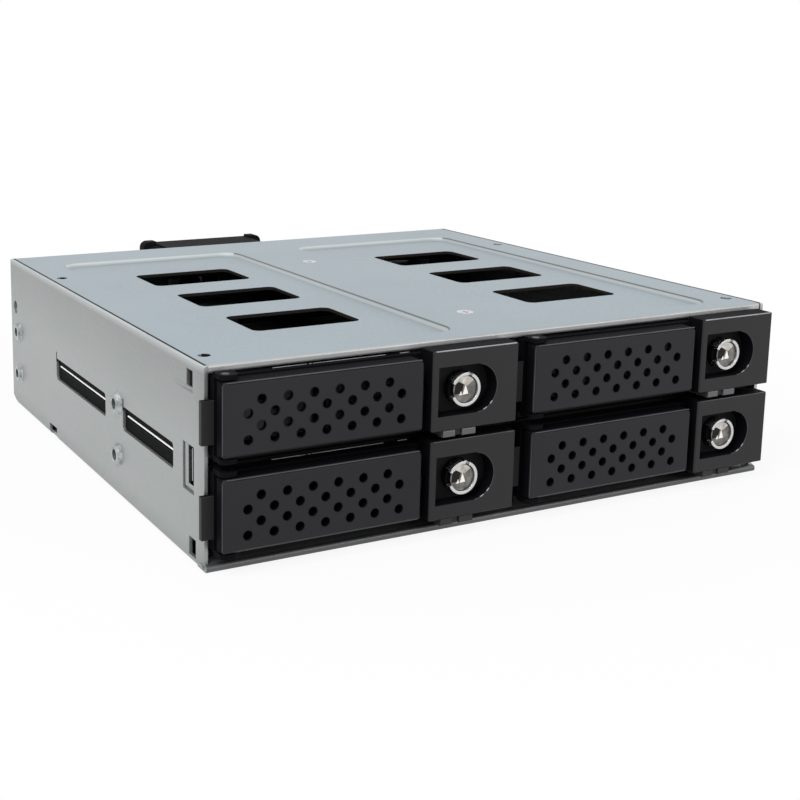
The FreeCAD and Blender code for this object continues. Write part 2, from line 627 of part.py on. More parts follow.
# ---- fan ---------------------------------------------------------------------------
def fan_frame():
    """Square fan body: two flanges joined by a round duct, with a spoked motor seat."""
    half = FAN_SIZE / 2
    x0 = FAN_CENTRE - half
    z0 = FAN_MIDDLE - half
    middle = Vector(FAN_CENTRE, DEPTH, FAN_MIDDLE)
    body = rounded(box(x0, x0 + FAN_SIZE, DEPTH, OBJECT_BACK, z0, z0 + FAN_SIZE), 2.0, 1)
    run = FAN_SIZE - 2 * FAN_CORNER
    reliefs = []
    for sign in (-1, 1):
        side = box(-half + FAN_CORNER, half - FAN_CORNER, 0, FAN_DEPTH, half - FAN_RELIEF, half + 1)
        for angle in (0, 90):
            turned = side.copy()
            turned.rotate(Vector(0, 0, 0), Vector(0, 1, 0), angle + 90 * (1 - sign))
            reliefs.append(placed(turned, middle.x, DEPTH, middle.z))
    waist = box(-half - 1, half + 1, FAN_FLANGE, FAN_DEPTH - FAN_FLANGE, -half - 1, half + 1)
    waist = waist.cut(rod(half - FAN_WALL / 5, Vector(0, 0, 0), Vector(0, FAN_DEPTH, 0)))
    waist = waist.cut(box(-run / 2, run / 2, 0, FAN_DEPTH, -half, half))
    waist = waist.cut(box(-half, half, 0, FAN_DEPTH, -run / 2, run / 2))
    posts = []
    for x, z in fan_screw_places():
        posts.append(rod(2 * FAN_SCREW_RADIUS, Vector(x, DEPTH + 1, z), Vector(0, FAN_DEPTH - 2, 0)))
    body = body.cut(reliefs + [placed(waist, middle.x, DEPTH, middle.z)])
    body = body.fuse(posts)
    bore = rod(FAN_BORE, middle, Vector(0, FAN_DEPTH, 0))
    cutters = [bore]
    for x, z in fan_screw_places():
        cutters.append(rod(FAN_SCREW_RADIUS + 0.1, Vector(x, DEPTH - 1, z), Vector(0, FAN_DEPTH + 2, 0)))
    body = body.cut(cutters)
    seat_start = OBJECT_BACK - FAN_SEAT
    seat = rod(HUB_RADIUS + 0.8, Vector(FAN_CENTRE, seat_start, FAN_MIDDLE), Vector(0, FAN_SEAT, 0))
    spokes = []
    for index in range(4):
        spoke = box(HUB_RADIUS, FAN_BORE + FAN_WALL / 2, 0, FAN_SEAT, -0.9, 0.9)
        spoke.rotate(Vector(0, 0, 0), Vector(0, 1, 0), 90 * index + 20)
        spokes.append(placed(spoke, FAN_CENTRE, seat_start, FAN_MIDDLE))
    body = body.fuse([seat] + spokes)
    shaft_hole = rod(FAN_SHAFT + RUNNING_FIT, Vector(FAN_CENTRE, seat_start - 1, FAN_MIDDLE), Vector(0, 1 + SHAFT_REACH, 0))
    return body.cut(shaft_hole).removeSplitter()


def fan_rotor():
    """Hub and slanted blades on a short shaft."""
    start = DEPTH + ROTOR_INSET
    end = OBJECT_BACK - FAN_SEAT - RUNNING_GAP
    hub = rod(HUB_RADIUS, Vector(0, start, 0), Vector(0, end - start, 0))
    rim = [e for e in hub.Edges if e.BoundBox.YLength < 1e-6 and e.BoundBox.YMax < start + 1e-6]
    hub = hub.makeChamfer(HUB_CHAMFER, rim)
    shaft = rod(FAN_SHAFT, Vector(0, end - 0.5, 0), Vector(0, SHAFT_REACH + 0.5, 0))
    blades = []
    for index in range(BLADES):
        blade = box(-BLADE_CHORD / 2, BLADE_CHORD / 2, -BLADE_THICK / 2, BLADE_THICK / 2,
                    HUB_RADIUS - BLADE_ROOT, BLADE_RADIUS + 1)
        blade.rotate(Vector(0, 0, 0), Vector(0, 0, 1), BLADE_ANGLE)
        blade.translate(Vector(0, (start + end) / 2, 0))
        blade.rotate(Vector(0, 0, 0), Vector(0, 1, 0), 360 / BLADES * index)
        blades.append(blade)
    sweep = rod(BLADE_RADIUS, Vector(0, start, 0), Vector(0, end - start, 0))
    rotor = hub.fuse(blades).common(sweep).fuse(shaft).removeSplitter()
    return placed(rotor, FAN_CENTRE, 0, FAN_MIDDLE)


def fan_screws():
    screws = []
    for x, z in fan_screw_places():
        head = rod(FAN_SCREW_HEAD, Vector(x, BACK_FACE - 1.6, z), Vector(0, 1.6, 0))
        shank = rod(FAN_SCREW_RADIUS, Vector(x, BACK_FACE, z), Vector(0, 7.0, 0))
        driver = box(x - 1.4, x + 1.4, BACK_FACE - 2, BACK_FACE - 0.8, z - 0.25, z + 0.25)
        driver = driver.fuse(box(x - 0.25, x + 0.25, BACK_FACE - 2, BACK_FACE - 0.8, z - 1.4, z + 1.4))
        screws.append(head.fuse(shank).cut(driver))
    return Part.makeCompound(screws)


# ---- tray front -----------------------------------------------------------------------
def pin_centre(v):
    return Vector(PIN[0], PIN[1], v)


def ear_heights():
    """Foot of the lower and of the upper hinge ear."""
    return (LEVER_V[0] - EAR_GAP - EAR_THICK, LEVER_V[1] + EAR_GAP)


def bezel():
    """Tray front: plate, stop tab, hinge ears and the lock block with its recess."""
    face = -FRONT_REACH
    plate = box(*PLATE_U, PLATE_FRONT, PLATE_BACK, *PLATE_V)
    tab = box(*TAB_U, PLATE_FRONT, -TAB_GAP, *TAB_V)
    block = box(*BLOCK_U, face, PLATE_FRONT + 0.5, *BLOCK_V)
    block = soften(block, 0.5, 2, lambda p: p.y < face + 0.01 and p.x < BLOCK_U[0] + 0.01)
    block = soften(block, 0.3, 0, lambda p: p.y < face + 0.01)
    parts = [tab, block]
    for foot in ear_heights():
        ear = box(*EAR_U, PIN[1] - KNUCKLE, PLATE_FRONT + 0.5, foot, foot + EAR_THICK)
        parts.append(soften(ear, 1.2, 2, lambda p: p.y < PIN[1]))
    rib = box(BLOCK_U[0] + sum(PIPE_RUNS[0]) + 0.2, BLOCK_U[0] + PIPE_RUNS[1][0] - 0.2,
              face + 0.6, PLATE_FRONT, PIPE_V[0] + 0.2, BLOCK_V[0] + 0.3)
    parts.append(rib)
    shape = plate.fuse(parts).removeSplitter()
    centre_u, centre_v = RECESS_CENTRE
    side = BLOCK_U[0] + RECESS_SIDE
    recess = box(side, centre_u, face - 1, RECESS_FLOOR, centre_v - RECESS_RADIUS, centre_v + RECESS_RADIUS)
    recess = recess.fuse(rod(RECESS_RADIUS, Vector(centre_u, face - 1, centre_v), Vector(0, RECESS_DEPTH + 1, 0)))
    cutters = [recess.removeSplitter()]
    cutters.append(rod(RING_INNER, Vector(LOCK[0], RECESS_FLOOR - 1, LOCK[1]), Vector(0, 4, 0)))
    middle = (AIR_U[0] + AIR_U[1]) / 2
    for u0, u1 in ((AIR_U[0], middle - AIR_RIB / 2), (middle + AIR_RIB / 2, AIR_U[1])):
        cutters.append(box(u0, u1, PLATE_FRONT - 1, PLATE_BACK + 1, *AIR_V))
    cutters.append(box(BOLT_U[0] - BOLT_GAP, BOLT_U[1] + CAM_THROW + BOLT_GAP, BOLT_Y[0] - BOLT_GAP,
                       PLATE_BACK + 1, BOLT_V[0] - BOLT_GAP, BOLT_V[1] + BOLT_GAP))
    cutters.append(box(BOLT_U[0] - BOLT_GAP, BOLT_U[0] + NOSE_WIDTH + CAM_THROW + BOLT_GAP,
                       NOSE_FRONT - BOLT_GAP, BOLT_Y[0], NOSE_V[0] - BOLT_GAP, NOSE_V[1] + BOLT_GAP))
    for foot in ear_heights():
        cutters.append(rod(PIN_RADIUS + 0.01, pin_centre(foot - 1), Vector(0, 0, EAR_THICK + 2)))
    return shape.cut(cutters)


def perforations():
    """Staggered holes: six in the first and third rows, seven in the others."""
    holes = []
    for column in range(HOLE_COLUMNS):
        first = 0 if column % 2 else 1
        for row in (first, first + 2):
            at = Vector(LEVER_U[0] + HOLE_START + column * HOLE_STEP, -FRONT_REACH - 1,
                        LEVER_V[1] - HOLE_DROP - row * HOLE_ROW)
            holes.append(rod(HOLE_RADIUS, at, Vector(0, LEVER_WALL + 2, 0)))
    return holes


def lever():
    """Perforated front that swings out on its pin, hollow behind."""
    face = -FRONT_REACH
    shell = box(*LEVER_U, face, LEVER_BACK, *LEVER_V)
    shell = soften(shell, 1.4, 1, lambda p: p.x > 0 and p.z > LEVER_V[0] + 1)
    shell = soften(shell, 0.7, 1, lambda p: p.x > 0 and p.z < LEVER_V[0] + 1)
    shell = soften(shell, 0.6, 2, lambda p: p.x < 0 and p.y < face + 0.01)
    top = [e for e in edges_along(shell, 0) if e.BoundBox.YMax < face + 0.01]
    shell = shell.makeChamfer(0.5, top)
    knuckle_end = PIN[0] + KNUCKLE
    hollow = box(knuckle_end, LEVER_U[1] - LEVER_RIM, face + LEVER_WALL, 0,
                 LEVER_V[0] + LEVER_RIM, LEVER_V[1] - LEVER_RIM)
    hollow = hollow.cut(rod(KNUCKLE, pin_centre(0), Vector(0, 0, 30)))
    back_corner = box(LEVER_U[0] - 1, PIN[0], PIN[1], 0, LEVER_V[0] - 1, LEVER_V[1] + 1)
    shell = shell.cut([hollow, back_corner])
    shell = shell.fuse(rod(KNUCKLE, pin_centre(LEVER_V[0]), Vector(0, 0, LEVER_V[1] - LEVER_V[0])))
    shell = shell.removeSplitter()
    pin_hole = rod(PIN_RADIUS + RUNNING_FIT, pin_centre(0), Vector(0, 0, 30))
    return shell.cut(perforations() + [pin_hole])


def lever_pin():
    low = ear_heights()[0]
    high = ear_heights()[1] + EAR_THICK
    return rod(PIN_RADIUS, pin_centre(low), Vector(0, 0, high - low))


def lock_ring():
    """Bright ring round the lock, open on the lever's side."""
    start = Vector(LOCK[0], RING_FACE, LOCK[1])
    along = Vector(0, RECESS_FLOOR - RING_FACE, 0)
    ring = rod(RING_OUTER, start, along).cut(rod(RING_INNER, start, along))
    reach = RING_OUTER + 1
    spread = reach * math.tan(math.radians(RING_GAP / 2))
    wedge = Part.makePolygon([
        Vector(0, 0, 0), Vector(-reach, 0, spread), Vector(-reach, 0, -spread), Vector(0, 0, 0)])
    wedge = placed(Part.Face(wedge).extrude(Vector(0, 1.4, 0)), LOCK[0], RING_FACE - 0.1, LOCK[1])
    notch = box(-0.45, 0.45, -0.1, 0.9, RING_INNER - 1, RING_OUTER + 1)
    notch.rotate(Vector(0, 0, 0), Vector(0, 1, 0), 18)
    return ring.cut([wedge, placed(notch, LOCK[0], RING_FACE, LOCK[1])])


def lock_core():
    """Turning core of the lock: keyway in front, eccentric pin behind."""
    shoulder = BOLT_Y[0] - BOLT_GAP
    core = rod(LOCK_RADIUS, Vector(LOCK[0], LOCK_FACE, LOCK[1]), Vector(0, shoulder - LOCK_FACE, 0))
    cam = rod(CAM_RADIUS, Vector(LOCK[0], shoulder, LOCK[1] - CAM_THROW), Vector(0, CAM_BACK - shoulder, 0))
    keyway = box(LOCK[0] - KEY_WIDTH / 2, LOCK[0] + KEY_WIDTH / 2, LOCK_FACE - 1, LOCK_FACE + KEY_DEPTH,
                 LOCK[1] - KEY_LENGTH / 2, LOCK[1] + KEY_LENGTH / 2)
    return core.fuse(cam).cut(keyway)


def lock_bolt():
    """Bolt that the lock's eccentric pin draws back from the end of the lever."""
    bar = box(*BOLT_U, *BOLT_Y, *BOLT_V)
    nose = box(BOLT_U[0], BOLT_U[0] + NOSE_WIDTH, NOSE_FRONT, BOLT_Y[1], *NOSE_V)
    reach = CAM_RADIUS + CAM_CLEARANCE
    window = box(LOCK[0] - reach, LOCK[0] + reach, BOLT_Y[0] - 1, BOLT_Y[1] + 1,
                 LOCK[1] - CAM_THROW - reach, LOCK[1] + reach)
    return bar.fuse(nose).removeSplitter().cut(window)


def light_pipes():
    pipes = []
    for start, width in PIPE_RUNS:
        pipe = box(BLOCK_U[0] + start, BLOCK_U[0] + start + width, -FRONT_REACH + PIPE_SET_BACK, PLATE_BACK, *PIPE_V)
        pipes.append(soften(pipe, 0.3, 0, lambda p: p.y < PLATE_FRONT))
    return Part.makeCompound(pipes)


def tray_bracket():
    """Upright sheet screwed behind the bezel, taller behind the lock block."""
    back = PLATE_BACK + SLED_SHEET
    low = box(PLATE_U[0] + BRACKET_SIDE, PLATE_U[1] - BRACKET_SIDE, PLATE_BACK, back,
              SLED_FLOOR, SLED_FLOOR + BRACKET_HEIGHT)
    tall = box(BLOCK_U[0] + BRACKET_TALL[0], BLOCK_U[0] + BRACKET_TALL[1], PLATE_BACK, back,
               SLED_FLOOR, PLATE_V[1] - BRACKET_DROP)
    air = box(*AIR_U, PLATE_BACK - 1, back + 1, AIR_V[0], PLATE_V[1])
    return low.cut(air).fuse(tall).removeSplitter()


def sled():
    """Slotted floor that carries the drive, with a low heel at its back."""
    low = SLED_FLOOR
    high = SLED_FLOOR + SLED_SHEET
    floor = box(-SLED_HALF, SLED_HALF, SLED_START, SLED_END, low, high)
    heel = box(-SLED_HALF + RUNNER_WIDTH, SLED_HALF - RUNNER_WIDTH, SLED_END - SLED_SHEET, SLED_END, low, high + SLED_HEEL)
    shape = floor.fuse(heel).removeSplitter()
    cutters = []
    across, along = SLED_SLOT
    pitch_u = DRIVE_HOLES_ACROSS / SLED_SLOTS_ACROSS
    pitch_y = (SLED_END - SLED_START) / SLED_SLOTS_ALONG
    for column in range(SLED_SLOTS_ACROSS):
        u = (column + 0.5 - SLED_SLOTS_ACROSS / 2) * pitch_u
        for row in range(SLED_SLOTS_ALONG):
            y = SLED_START + (row + 0.5) * pitch_y
            cutters.append(box(u - across / 2, u + across / 2, y - along / 2, y + along / 2, low - 1, high + 1))
    for side in (-1, 1):
        for y in (SLED_END - DRIVE_HOLE_END, SLED_END - DRIVE_HOLE_END - DRIVE_HOLES_ALONG):
            cutters.append(rod(DRIVE_HOLE_RADIUS, Vector(side * DRIVE_HOLES_ACROSS / 2, y, low - 1), Vector(0, 0, 3)))
    return shape.cut(cutters)


# ---- the whole object --------------------------------------------------------------------
CASING = {
    "base_pan": base_pan,
    "top_cover": top_cover,
    "cover_screws": cover_screws,
    "mid_shelf": mid_shelf,
    "center_divider": center_divider,
    "side_guides": side_guides,
    "runner_rails": runner_rails,
    "rear_panel": rear_panel,
    "backplane_board": backplane_board,
    "board_standoffs": board_standoffs,
    "drive_connectors": drive_connectors,
    "data_ports": data_ports,
    "power_inlets": power_inlets,
    "fan_frame": fan_frame,
    "fan_rotor": fan_rotor,
    "fan_screws": fan_screws,
}
TRAY = {
    "bezel": bezel,
    "lever": lever,
    "lever_pin": lever_pin,
    "lock_ring": lock_ring,
    "lock_core": lock_core,
    "lock_bolt": lock_bolt,
    "light_pipes": light_pipes,
    "tray_bracket": tray_bracket,
    "sled": sled,
}


def save(name, shape):
    moved = placed(shape, 0, -ORIGIN_Y, 0)
    moved.exportStep(os.path.join("parts", name + ".step"))
    print(name, "solids", len(moved.Solids), "valid", moved.isValid(), "volume", round(moved.Volume, 1))


def main():
    os.makedirs("parts", exist_ok=True)
    for name, make in CASING.items():
        save(name, make())
    for name, make in TRAY.items():
        shape = make()
        for side, x in BAYS:
            for row, z in ROWS:
                save(name + "_" + row + "_" + side, placed(shape, x, 0, z))


main()
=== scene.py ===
# %% [markdown]
# # Dressing a hot swap drive cage
# The cage is a folded steel casing with four pull-out trays, each closed by a perforated lever and a
# small lock. Its solid model is already packed as a frame, and this lesson gives that frame its finish:
# sheet steel, moulded plastic, bright metal and the small repeated details that a solid model leaves out.
# The frame could be rebuilt here by hand, but loading it keeps every piece in its true place.

# %% Load the frame
import json
import math

import bmesh
import bpy
from mathutils import Matrix, Vector


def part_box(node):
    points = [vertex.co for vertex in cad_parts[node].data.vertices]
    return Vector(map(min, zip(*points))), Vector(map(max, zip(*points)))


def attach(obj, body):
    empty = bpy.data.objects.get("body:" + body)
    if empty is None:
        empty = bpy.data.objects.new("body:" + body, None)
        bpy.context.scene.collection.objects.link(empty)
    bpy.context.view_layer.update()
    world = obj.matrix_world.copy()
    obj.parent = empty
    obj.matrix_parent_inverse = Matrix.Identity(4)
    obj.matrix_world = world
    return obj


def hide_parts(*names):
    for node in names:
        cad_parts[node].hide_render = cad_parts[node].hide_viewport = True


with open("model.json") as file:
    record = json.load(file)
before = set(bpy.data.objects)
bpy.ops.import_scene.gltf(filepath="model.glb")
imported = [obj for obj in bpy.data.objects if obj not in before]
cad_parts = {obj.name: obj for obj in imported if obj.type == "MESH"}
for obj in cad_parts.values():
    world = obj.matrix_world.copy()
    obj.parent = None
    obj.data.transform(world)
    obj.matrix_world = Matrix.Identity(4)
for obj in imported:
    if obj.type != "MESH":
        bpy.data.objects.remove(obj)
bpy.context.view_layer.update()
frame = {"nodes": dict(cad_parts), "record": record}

MM = 0.001

# %% [markdown]
# The trays repeat: two rows of two. Every name in the frame ends with the row and the side, so one list
# of endings serves all the loops below. A loop over names is easier to trust than four copies of the same
# lines.

# %% Names of the four trays
TRAYS = [row + "_" + side for row in ("lower", "upper") for side in ("left", "right")]
SIDES = ("left", "right")


def corners(node):
    """Lowest and highest corner of a frame node, as vectors in metres."""
    low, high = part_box(node)
    return Vector(low), Vector(high)


lever_low, lever_high = corners("lever_upper_left")
print("one lever spans", [round(v / MM, 1) for v in lever_high - lever_low], "mm")

# %% [markdown]
# ## Finishes
# Every finish starts from the same small recipe: a Principled shader, a noise that shifts its colour a
# little, a second noise that shifts its roughness, and a bump. Image textures would also work, but noise
# on Object coordinates needs no unwrapping and stays fixed to each piece when it moves. The Bevel node
# rounds the normals at edges, so that a folded or moulded edge catches light as a real one does.

# %% The shared recipe for a finish
NOISE_LOW, NOISE_HIGH = 0.3, 0.7       # a noise seldom goes past these values
ROUGH_SPREAD = 0.12                    # share by which the roughness varies
GRAIN_DEPTH = 0.02                     # mm, height of the fine grain
MIX_A, MIX_B, MIX_OUT = 6, 7, 2        # the colour sockets of a Mix node
PLAIN_STRETCH = (1, 1, 1)


def link(tree, out_node, out_name, in_node, in_name):
    tree.links.new(out_node.outputs[out_name], in_node.inputs[in_name])


def noise(tree, coords, scale, stretch):
    """A noise over Object coordinates, stretched along the axes."""
    mapping = tree.nodes.new("ShaderNodeMapping")
    mapping.inputs["Scale"].default_value = stretch
    link(tree, coords, "Object", mapping, "Vector")
    texture = tree.nodes.new("ShaderNodeTexNoise")
    texture.inputs["Scale"].default_value = scale
    texture.inputs["Detail"].default_value = 3.0
    link(tree, mapping, "Vector", texture, "Vector")
    return texture


def ramp(tree, source, low, high):
    """Maps a noise's middle range to two values."""
    node = tree.nodes.new("ShaderNodeMapRange")
    node.inputs["From Min"].default_value = NOISE_LOW
    node.inputs["From Max"].default_value = NOISE_HIGH
    node.inputs["To Min"].default_value = low
    node.inputs["To Max"].default_value = high
    link(tree, source, "Fac", node, "Value")
    return node


def finish(name, colour, rough, metal=0.0, shift=0.06, grain=900.0, stretch=PLAIN_STRETCH, bump=0.15,
           edge=0.15, specular=0.5, patch=25.0):
    """A material with colour patches, varying roughness, a fine grain and edges softened over edge mm."""
    material = bpy.data.materials.new(name)
    material.use_nodes = True
    tree = material.node_tree
    shader = tree.nodes["Principled BSDF"]
    shader.inputs["Metallic"].default_value = metal
    shader.inputs["Specular IOR Level"].default_value = specular
    coords = tree.nodes.new("ShaderNodeTexCoord")
    patches = noise(tree, coords, patch, PLAIN_STRETCH)
    mix = tree.nodes.new("ShaderNodeMix")
    mix.data_type = "RGBA"
    mix.inputs[MIX_A].default_value = [c * (1 - shift) for c in colour] + [1]
    mix.inputs[MIX_B].default_value = [min(1, c * (1 + shift)) for c in colour] + [1]
    tree.links.new(ramp(tree, patches, 0, 1).outputs["Result"], mix.inputs[0])
    tree.links.new(mix.outputs[MIX_OUT], shader.inputs["Base Color"])
    fine = noise(tree, coords, grain, stretch)
    roughness = ramp(tree, fine, rough * (1 - ROUGH_SPREAD), rough * (1 + ROUGH_SPREAD))
    link(tree, roughness, "Result", shader, "Roughness")
    bumps = tree.nodes.new("ShaderNodeBump")
    bumps.inputs["Strength"].default_value = bump
    bumps.inputs["Distance"].default_value = GRAIN_DEPTH * MM
    link(tree, fine, "Fac", bumps, "Height")
    if edge:
        soft = tree.nodes.new("ShaderNodeBevel")
        soft.samples = 4
        soft.inputs["Radius"].default_value = edge * MM
        link(tree, soft, "Normal", bumps, "Normal")
    link(tree, bumps, "Normal", shader, "Normal")
    return material


# %% [markdown]
# ## The finishes of this cage
# The casing is galvanised sheet: satin, faintly blue on the cover, with a soft cloudiness from the zinc.
# The tray fronts are dark moulded plastic with a fine spark-eroded texture. The ring round each lock is
# polished.

# %% Make the finishes
MOULDED = dict(shift=0.08, grain=4200, bump=0.35, edge=0.25, specular=0.12)
SHEET = dict(metal=0.75, grain=1500, bump=0.10, edge=0.3)
finishes = {
    "cage_steel": finish("wall_sheet", (0.335, 0.358, 0.352), 0.38, shift=0.045, **SHEET),
    "cover_steel": finish("cover_sheet", (0.340, 0.402, 0.438), 0.44, shift=0.035, specular=0.15, **SHEET),
    # painted shade: the interior sheet and the sleds are near-black, standing for the dark inside of the
    # cage
    "inner_steel": finish("interior_shade_black", (0.0075, 0.0070, 0.0070), 0.5, grain=1200, specular=0.06),
    "sled_steel": finish("sled_shade_black", (0.0085, 0.0072, 0.0065), 0.45, grain=1200, specular=0.08),
    "screw_steel": finish("zinc_screw", (0.60, 0.61, 0.62), 0.28, metal=1.0, grain=2500, edge=0.1),
    "pin_steel": finish("ground_pin", (0.03, 0.03, 0.033), 0.35, metal=1.0, grain=2500, stretch=(1, 1, 0.1),
                        edge=0.1),
    "lock_chrome": finish("polished_ring", (0.60, 0.60, 0.60), 0.14, metal=0.9, shift=0.02, grain=3000,
                          bump=0.03, edge=0.2),
    "lock_metal": finish("lock_face", (0.17, 0.165, 0.155), 0.30, metal=0.9, shift=0.4, grain=2500,
                         patch=700, edge=0.1),
    "tray_plastic": finish("charcoal_plastic", (0.0255, 0.0252, 0.0268), 0.45, **MOULDED),
    "lever_finish": finish("lever_plastic", (0.0200, 0.0192, 0.0222), 0.45, **MOULDED),
    "light_pipe": finish("smoked_light_pipe", (0.085, 0.085, 0.090), 0.3, shift=0.08, grain=1500),
    "guide_plastic": finish("guide_plastic", (0.004, 0.004, 0.0045), 0.5, grain=2500, specular=0.03),
    "connector_plastic": finish("connector_plastic", (0.012, 0.012, 0.013), 0.4, grain=2500, specular=0.3),
    "board": finish("board_mask", (0.010, 0.035, 0.022), 0.35, shift=0.15, patch=120, specular=0.2),
    "standoff_brass": finish("turned_brass", (0.70, 0.52, 0.25), 0.25, metal=1.0, grain=3000,
                             stretch=(1, 0.1, 1)),
    "fan_plastic": finish("fan_plastic", (0.009, 0.009, 0.009), 0.55, grain=2500, specular=0.015),
}
print("slots with a finish:", len(finishes))

# %% [markdown]
# A few surfaces differ from the rest of their piece, most of them as painted light and shade: near-black
# plastic and sheet as painted shade, painted highlights on edges, bends, bosses and slot lines, and a
# lighter tab as painted light. They are painted on later, face by face.

# %% Make the finishes for single faces
# painted shade: a near-black for the faces of a moulding that the light does not reach
shade_black = finish("painted_shade_black", (0.0050, 0.0050, 0.0065), 0.55, shift=0.1, grain=2500, bump=0.1,
                        edge=0, specular=0.02)
# painted shade on the floor of the lock's pocket
pocket_shade = finish("pocket_shade", (0.0115, 0.0115, 0.0130), 0.5, shift=0.1, grain=3000, edge=0.1,
                      specular=0.06)
# painted light: a lighter plastic for the right trays' tabs, which sit in shade
tab_painted_light = finish("tab_painted_light", (0.040, 0.040, 0.042), 0.45, shift=0.08, grain=4200, bump=0.3,
                     specular=0.12)
# painted highlight: bright lines where edges catch the light
edge_highlight = finish("edge_highlight", (0.30, 0.30, 0.31), 0.3, shift=0.25, grain=2500, patch=180, edge=0)
# painted highlight, dimmer, for edges in less light
dim_edge_highlight = finish("dim_edge_highlight", (0.060, 0.060, 0.064), 0.35, shift=0.3, grain=2500, patch=150, edge=0,
                   specular=0.3)
# painted highlight on the walls' folded top edges and on the window frame's edge
bright_bend = finish("bright_bend", (0.46, 0.485, 0.49), 0.38, metal=0.6, shift=0.08, grain=1500, patch=60,
                     edge=0)
# painted shade: the pan's lip is darker because it lies in shade
lip_shade = finish("lip_shade", (0.105, 0.107, 0.110), 0.45, metal=0.6, shift=0.10, grain=1500, patch=20,
                   edge=0.3)
shaded_bend = finish("shaded_bend", (0.19, 0.21, 0.22), 0.4, metal=0.7, grain=1500, edge=0)
cover_hem = finish("cover_hem", (0.41, 0.42, 0.42), 0.45, metal=0.6, shift=0.1, grain=1500, patch=60,
                   edge=0.2)
# painted highlight, patchy, on the flanks of the raised screw holes
boss_highlight = finish("boss_highlight", (0.36, 0.39, 0.39), 0.25, metal=0.85, shift=0.45, grain=2000,
                      patch=700, edge=0)
# painted highlight: the bright line along the runner's edge in each slot
slot_highlight = finish("slot_highlight", (0.95, 0.95, 0.94), 0.4, metal=0.1, shift=0.03, grain=2000, edge=0)
contact_gold = finish("contact_gold", (0.80, 0.60, 0.25), 0.3, metal=1.0, shift=0.1, grain=3000, edge=0)
# painted shade: a darker copy of the light pipe finish for the lower row
dark_pipe = finish("dark_pipe", (0.035, 0.035, 0.037), 0.4, grain=1500, specular=0.1)
# painted shade inside the side slots
slot_shade_dark = finish("slot_shade_dark", (0.0065, 0.0068, 0.0072), 0.6, grain=1500, edge=0, specular=0.02)
vent_edge = finish("vent_edge", (0.020, 0.018, 0.016), 0.5, grain=1500, edge=0, specular=0.05)
dark_seam = finish("dark_seam", (0.015, 0.015, 0.0155), 0.6, grain=1500, edge=0, specular=0.1)
print("materials so far:", len(bpy.data.materials))

# %% [markdown]
# ## Give each frame node its finish
# The record names a material slot for every node, so the finish follows from the record. Assigning it by
# hand, node by node, would work too, but would have to be repeated whenever a piece is added.

# %% Assign the finishes to the frame nodes
for part in frame["record"]["subparts"]:
    mesh = frame["nodes"][part["node"]].data
    mesh.materials.clear()
    # the lower row's light pipes take the darker copy, as painted shade
    shaded = part["material_slot"] == "light_pipe" and "lower" in part["node"]
    mesh.materials.append(dark_pipe if shaded else finishes[part["material_slot"]])

# %% [markdown]
# ## Turning built meshes into pieces
# New pieces are built as plain meshes in the frame's own coordinates, ride on the body they belong to,
# and take a slot from the record. One short function keeps these three steps together.

# %% A helper for new pieces
def piece(name, mesh, body, slot):
    """An object from a mesh, riding on a body."""
    thing = bpy.data.objects.new(name, mesh)
    bpy.context.scene.collection.objects.link(thing)
    if not mesh.materials:
        mesh.materials.append(finishes[slot])
    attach(thing, body)
    return thing


def prism(outline, y0, y1):
    """A closed bmesh prism from an outline of (x, z) points, between two depths."""
    shape = bmesh.new()
    front = [shape.verts.new((x, y0, z)) for x, z in outline]
    back = [shape.verts.new((x, y1, z)) for x, z in outline]
    shape.faces.new(front)
    shape.faces.new(list(reversed(back)))
    count = len(outline)
    for i in range(count):
        j = (i + 1) % count
        shape.faces.new((front[i], back[i], back[j], front[j]))
    bmesh.ops.recalc_face_normals(shape, faces=shape.faces)
    return shape


def to_mesh(shape, name):
    mesh = bpy.data.meshes.new(name)
    shape.to_mesh(mesh)
    shape.free()
    return mesh


# %% [markdown]
# ## Places on a tray
# A tray's drawing measures across from the middle of its bay, back from the front of the casing, and up
# from the foot of its row, in millimetres. One function turns such a place into the frame's metres,
# starting from the lever's own corner, so that all four trays are dressed by the same numbers.

# %% From a tray's drawing to the frame
LEVER_LEFT, LEVER_RIGHT, LEVER_FOOT, LEVER_HEAD = -34.9, 10.1, 5.15, 20.05
LEVER_FRONT = -5.6
COVER_INSET = 0.2                      # the cover starts this far behind the casing's front
BOSS_REACH = 0.9                       # the raised screw holes stand out from the wall by this much
FRONT = corners("top_cover")[0].y - COVER_INSET * MM


def spot(tray, across, back, up):
    """A place on a tray, in metres."""
    low = corners("lever_" + tray)[0]
    return Vector((low.x + (across - LEVER_LEFT) * MM, FRONT + back * MM, low.z + (up - LEVER_FOOT) * MM))


def wall_spot(side, out, back, up):
    """A place on a side wall: out from its outer face, back from the casing's front, up from the foot."""
    low, high = corners("base_pan")
    x = low.x - (out - BOSS_REACH) * MM if side == "left" else high.x + (out - BOSS_REACH) * MM
    return Vector((x, FRONT + back * MM, low.z + up * MM))


print("front of the casing at y =", round(FRONT / MM, 2), "mm")

# %% [markdown]
# ## Two ways to add a fine detail
# A bead is a thin round line of material: the rounded-over edge of a moulding or a bend, which catches
# the light. It is drawn as a curve with a round section and turned into a mesh. A tile is a small flat
# block. Bevelling the whole moulding would also give bright edges, but a bead gives each edge its own
# brightness.

# %% Beads and tiles
TILE_EDGE = 0.03                       # mm, rounding of a tile's edges


def bead(name, points, radius, body, slot, material):
    """A thin round line through some points."""
    curve = bpy.data.curves.new(name, "CURVE")
    curve.dimensions = "3D"
    curve.bevel_depth = radius * MM
    curve.bevel_resolution = 1
    curve.use_fill_caps = True
    spline = curve.splines.new("POLY")
    spline.points.add(len(points) - 1)
    for node, place in zip(spline.points, points):
        node.co = (*place, 1)
    holder = bpy.data.objects.new(name + "_path", curve)
    bpy.context.scene.collection.objects.link(holder)
    mesh = bpy.data.meshes.new_from_object(holder.evaluated_get(bpy.context.evaluated_depsgraph_get()))
    bpy.data.objects.remove(holder)
    mesh.materials.clear()
    mesh.materials.append(material)
    return piece(name, mesh, body, slot)


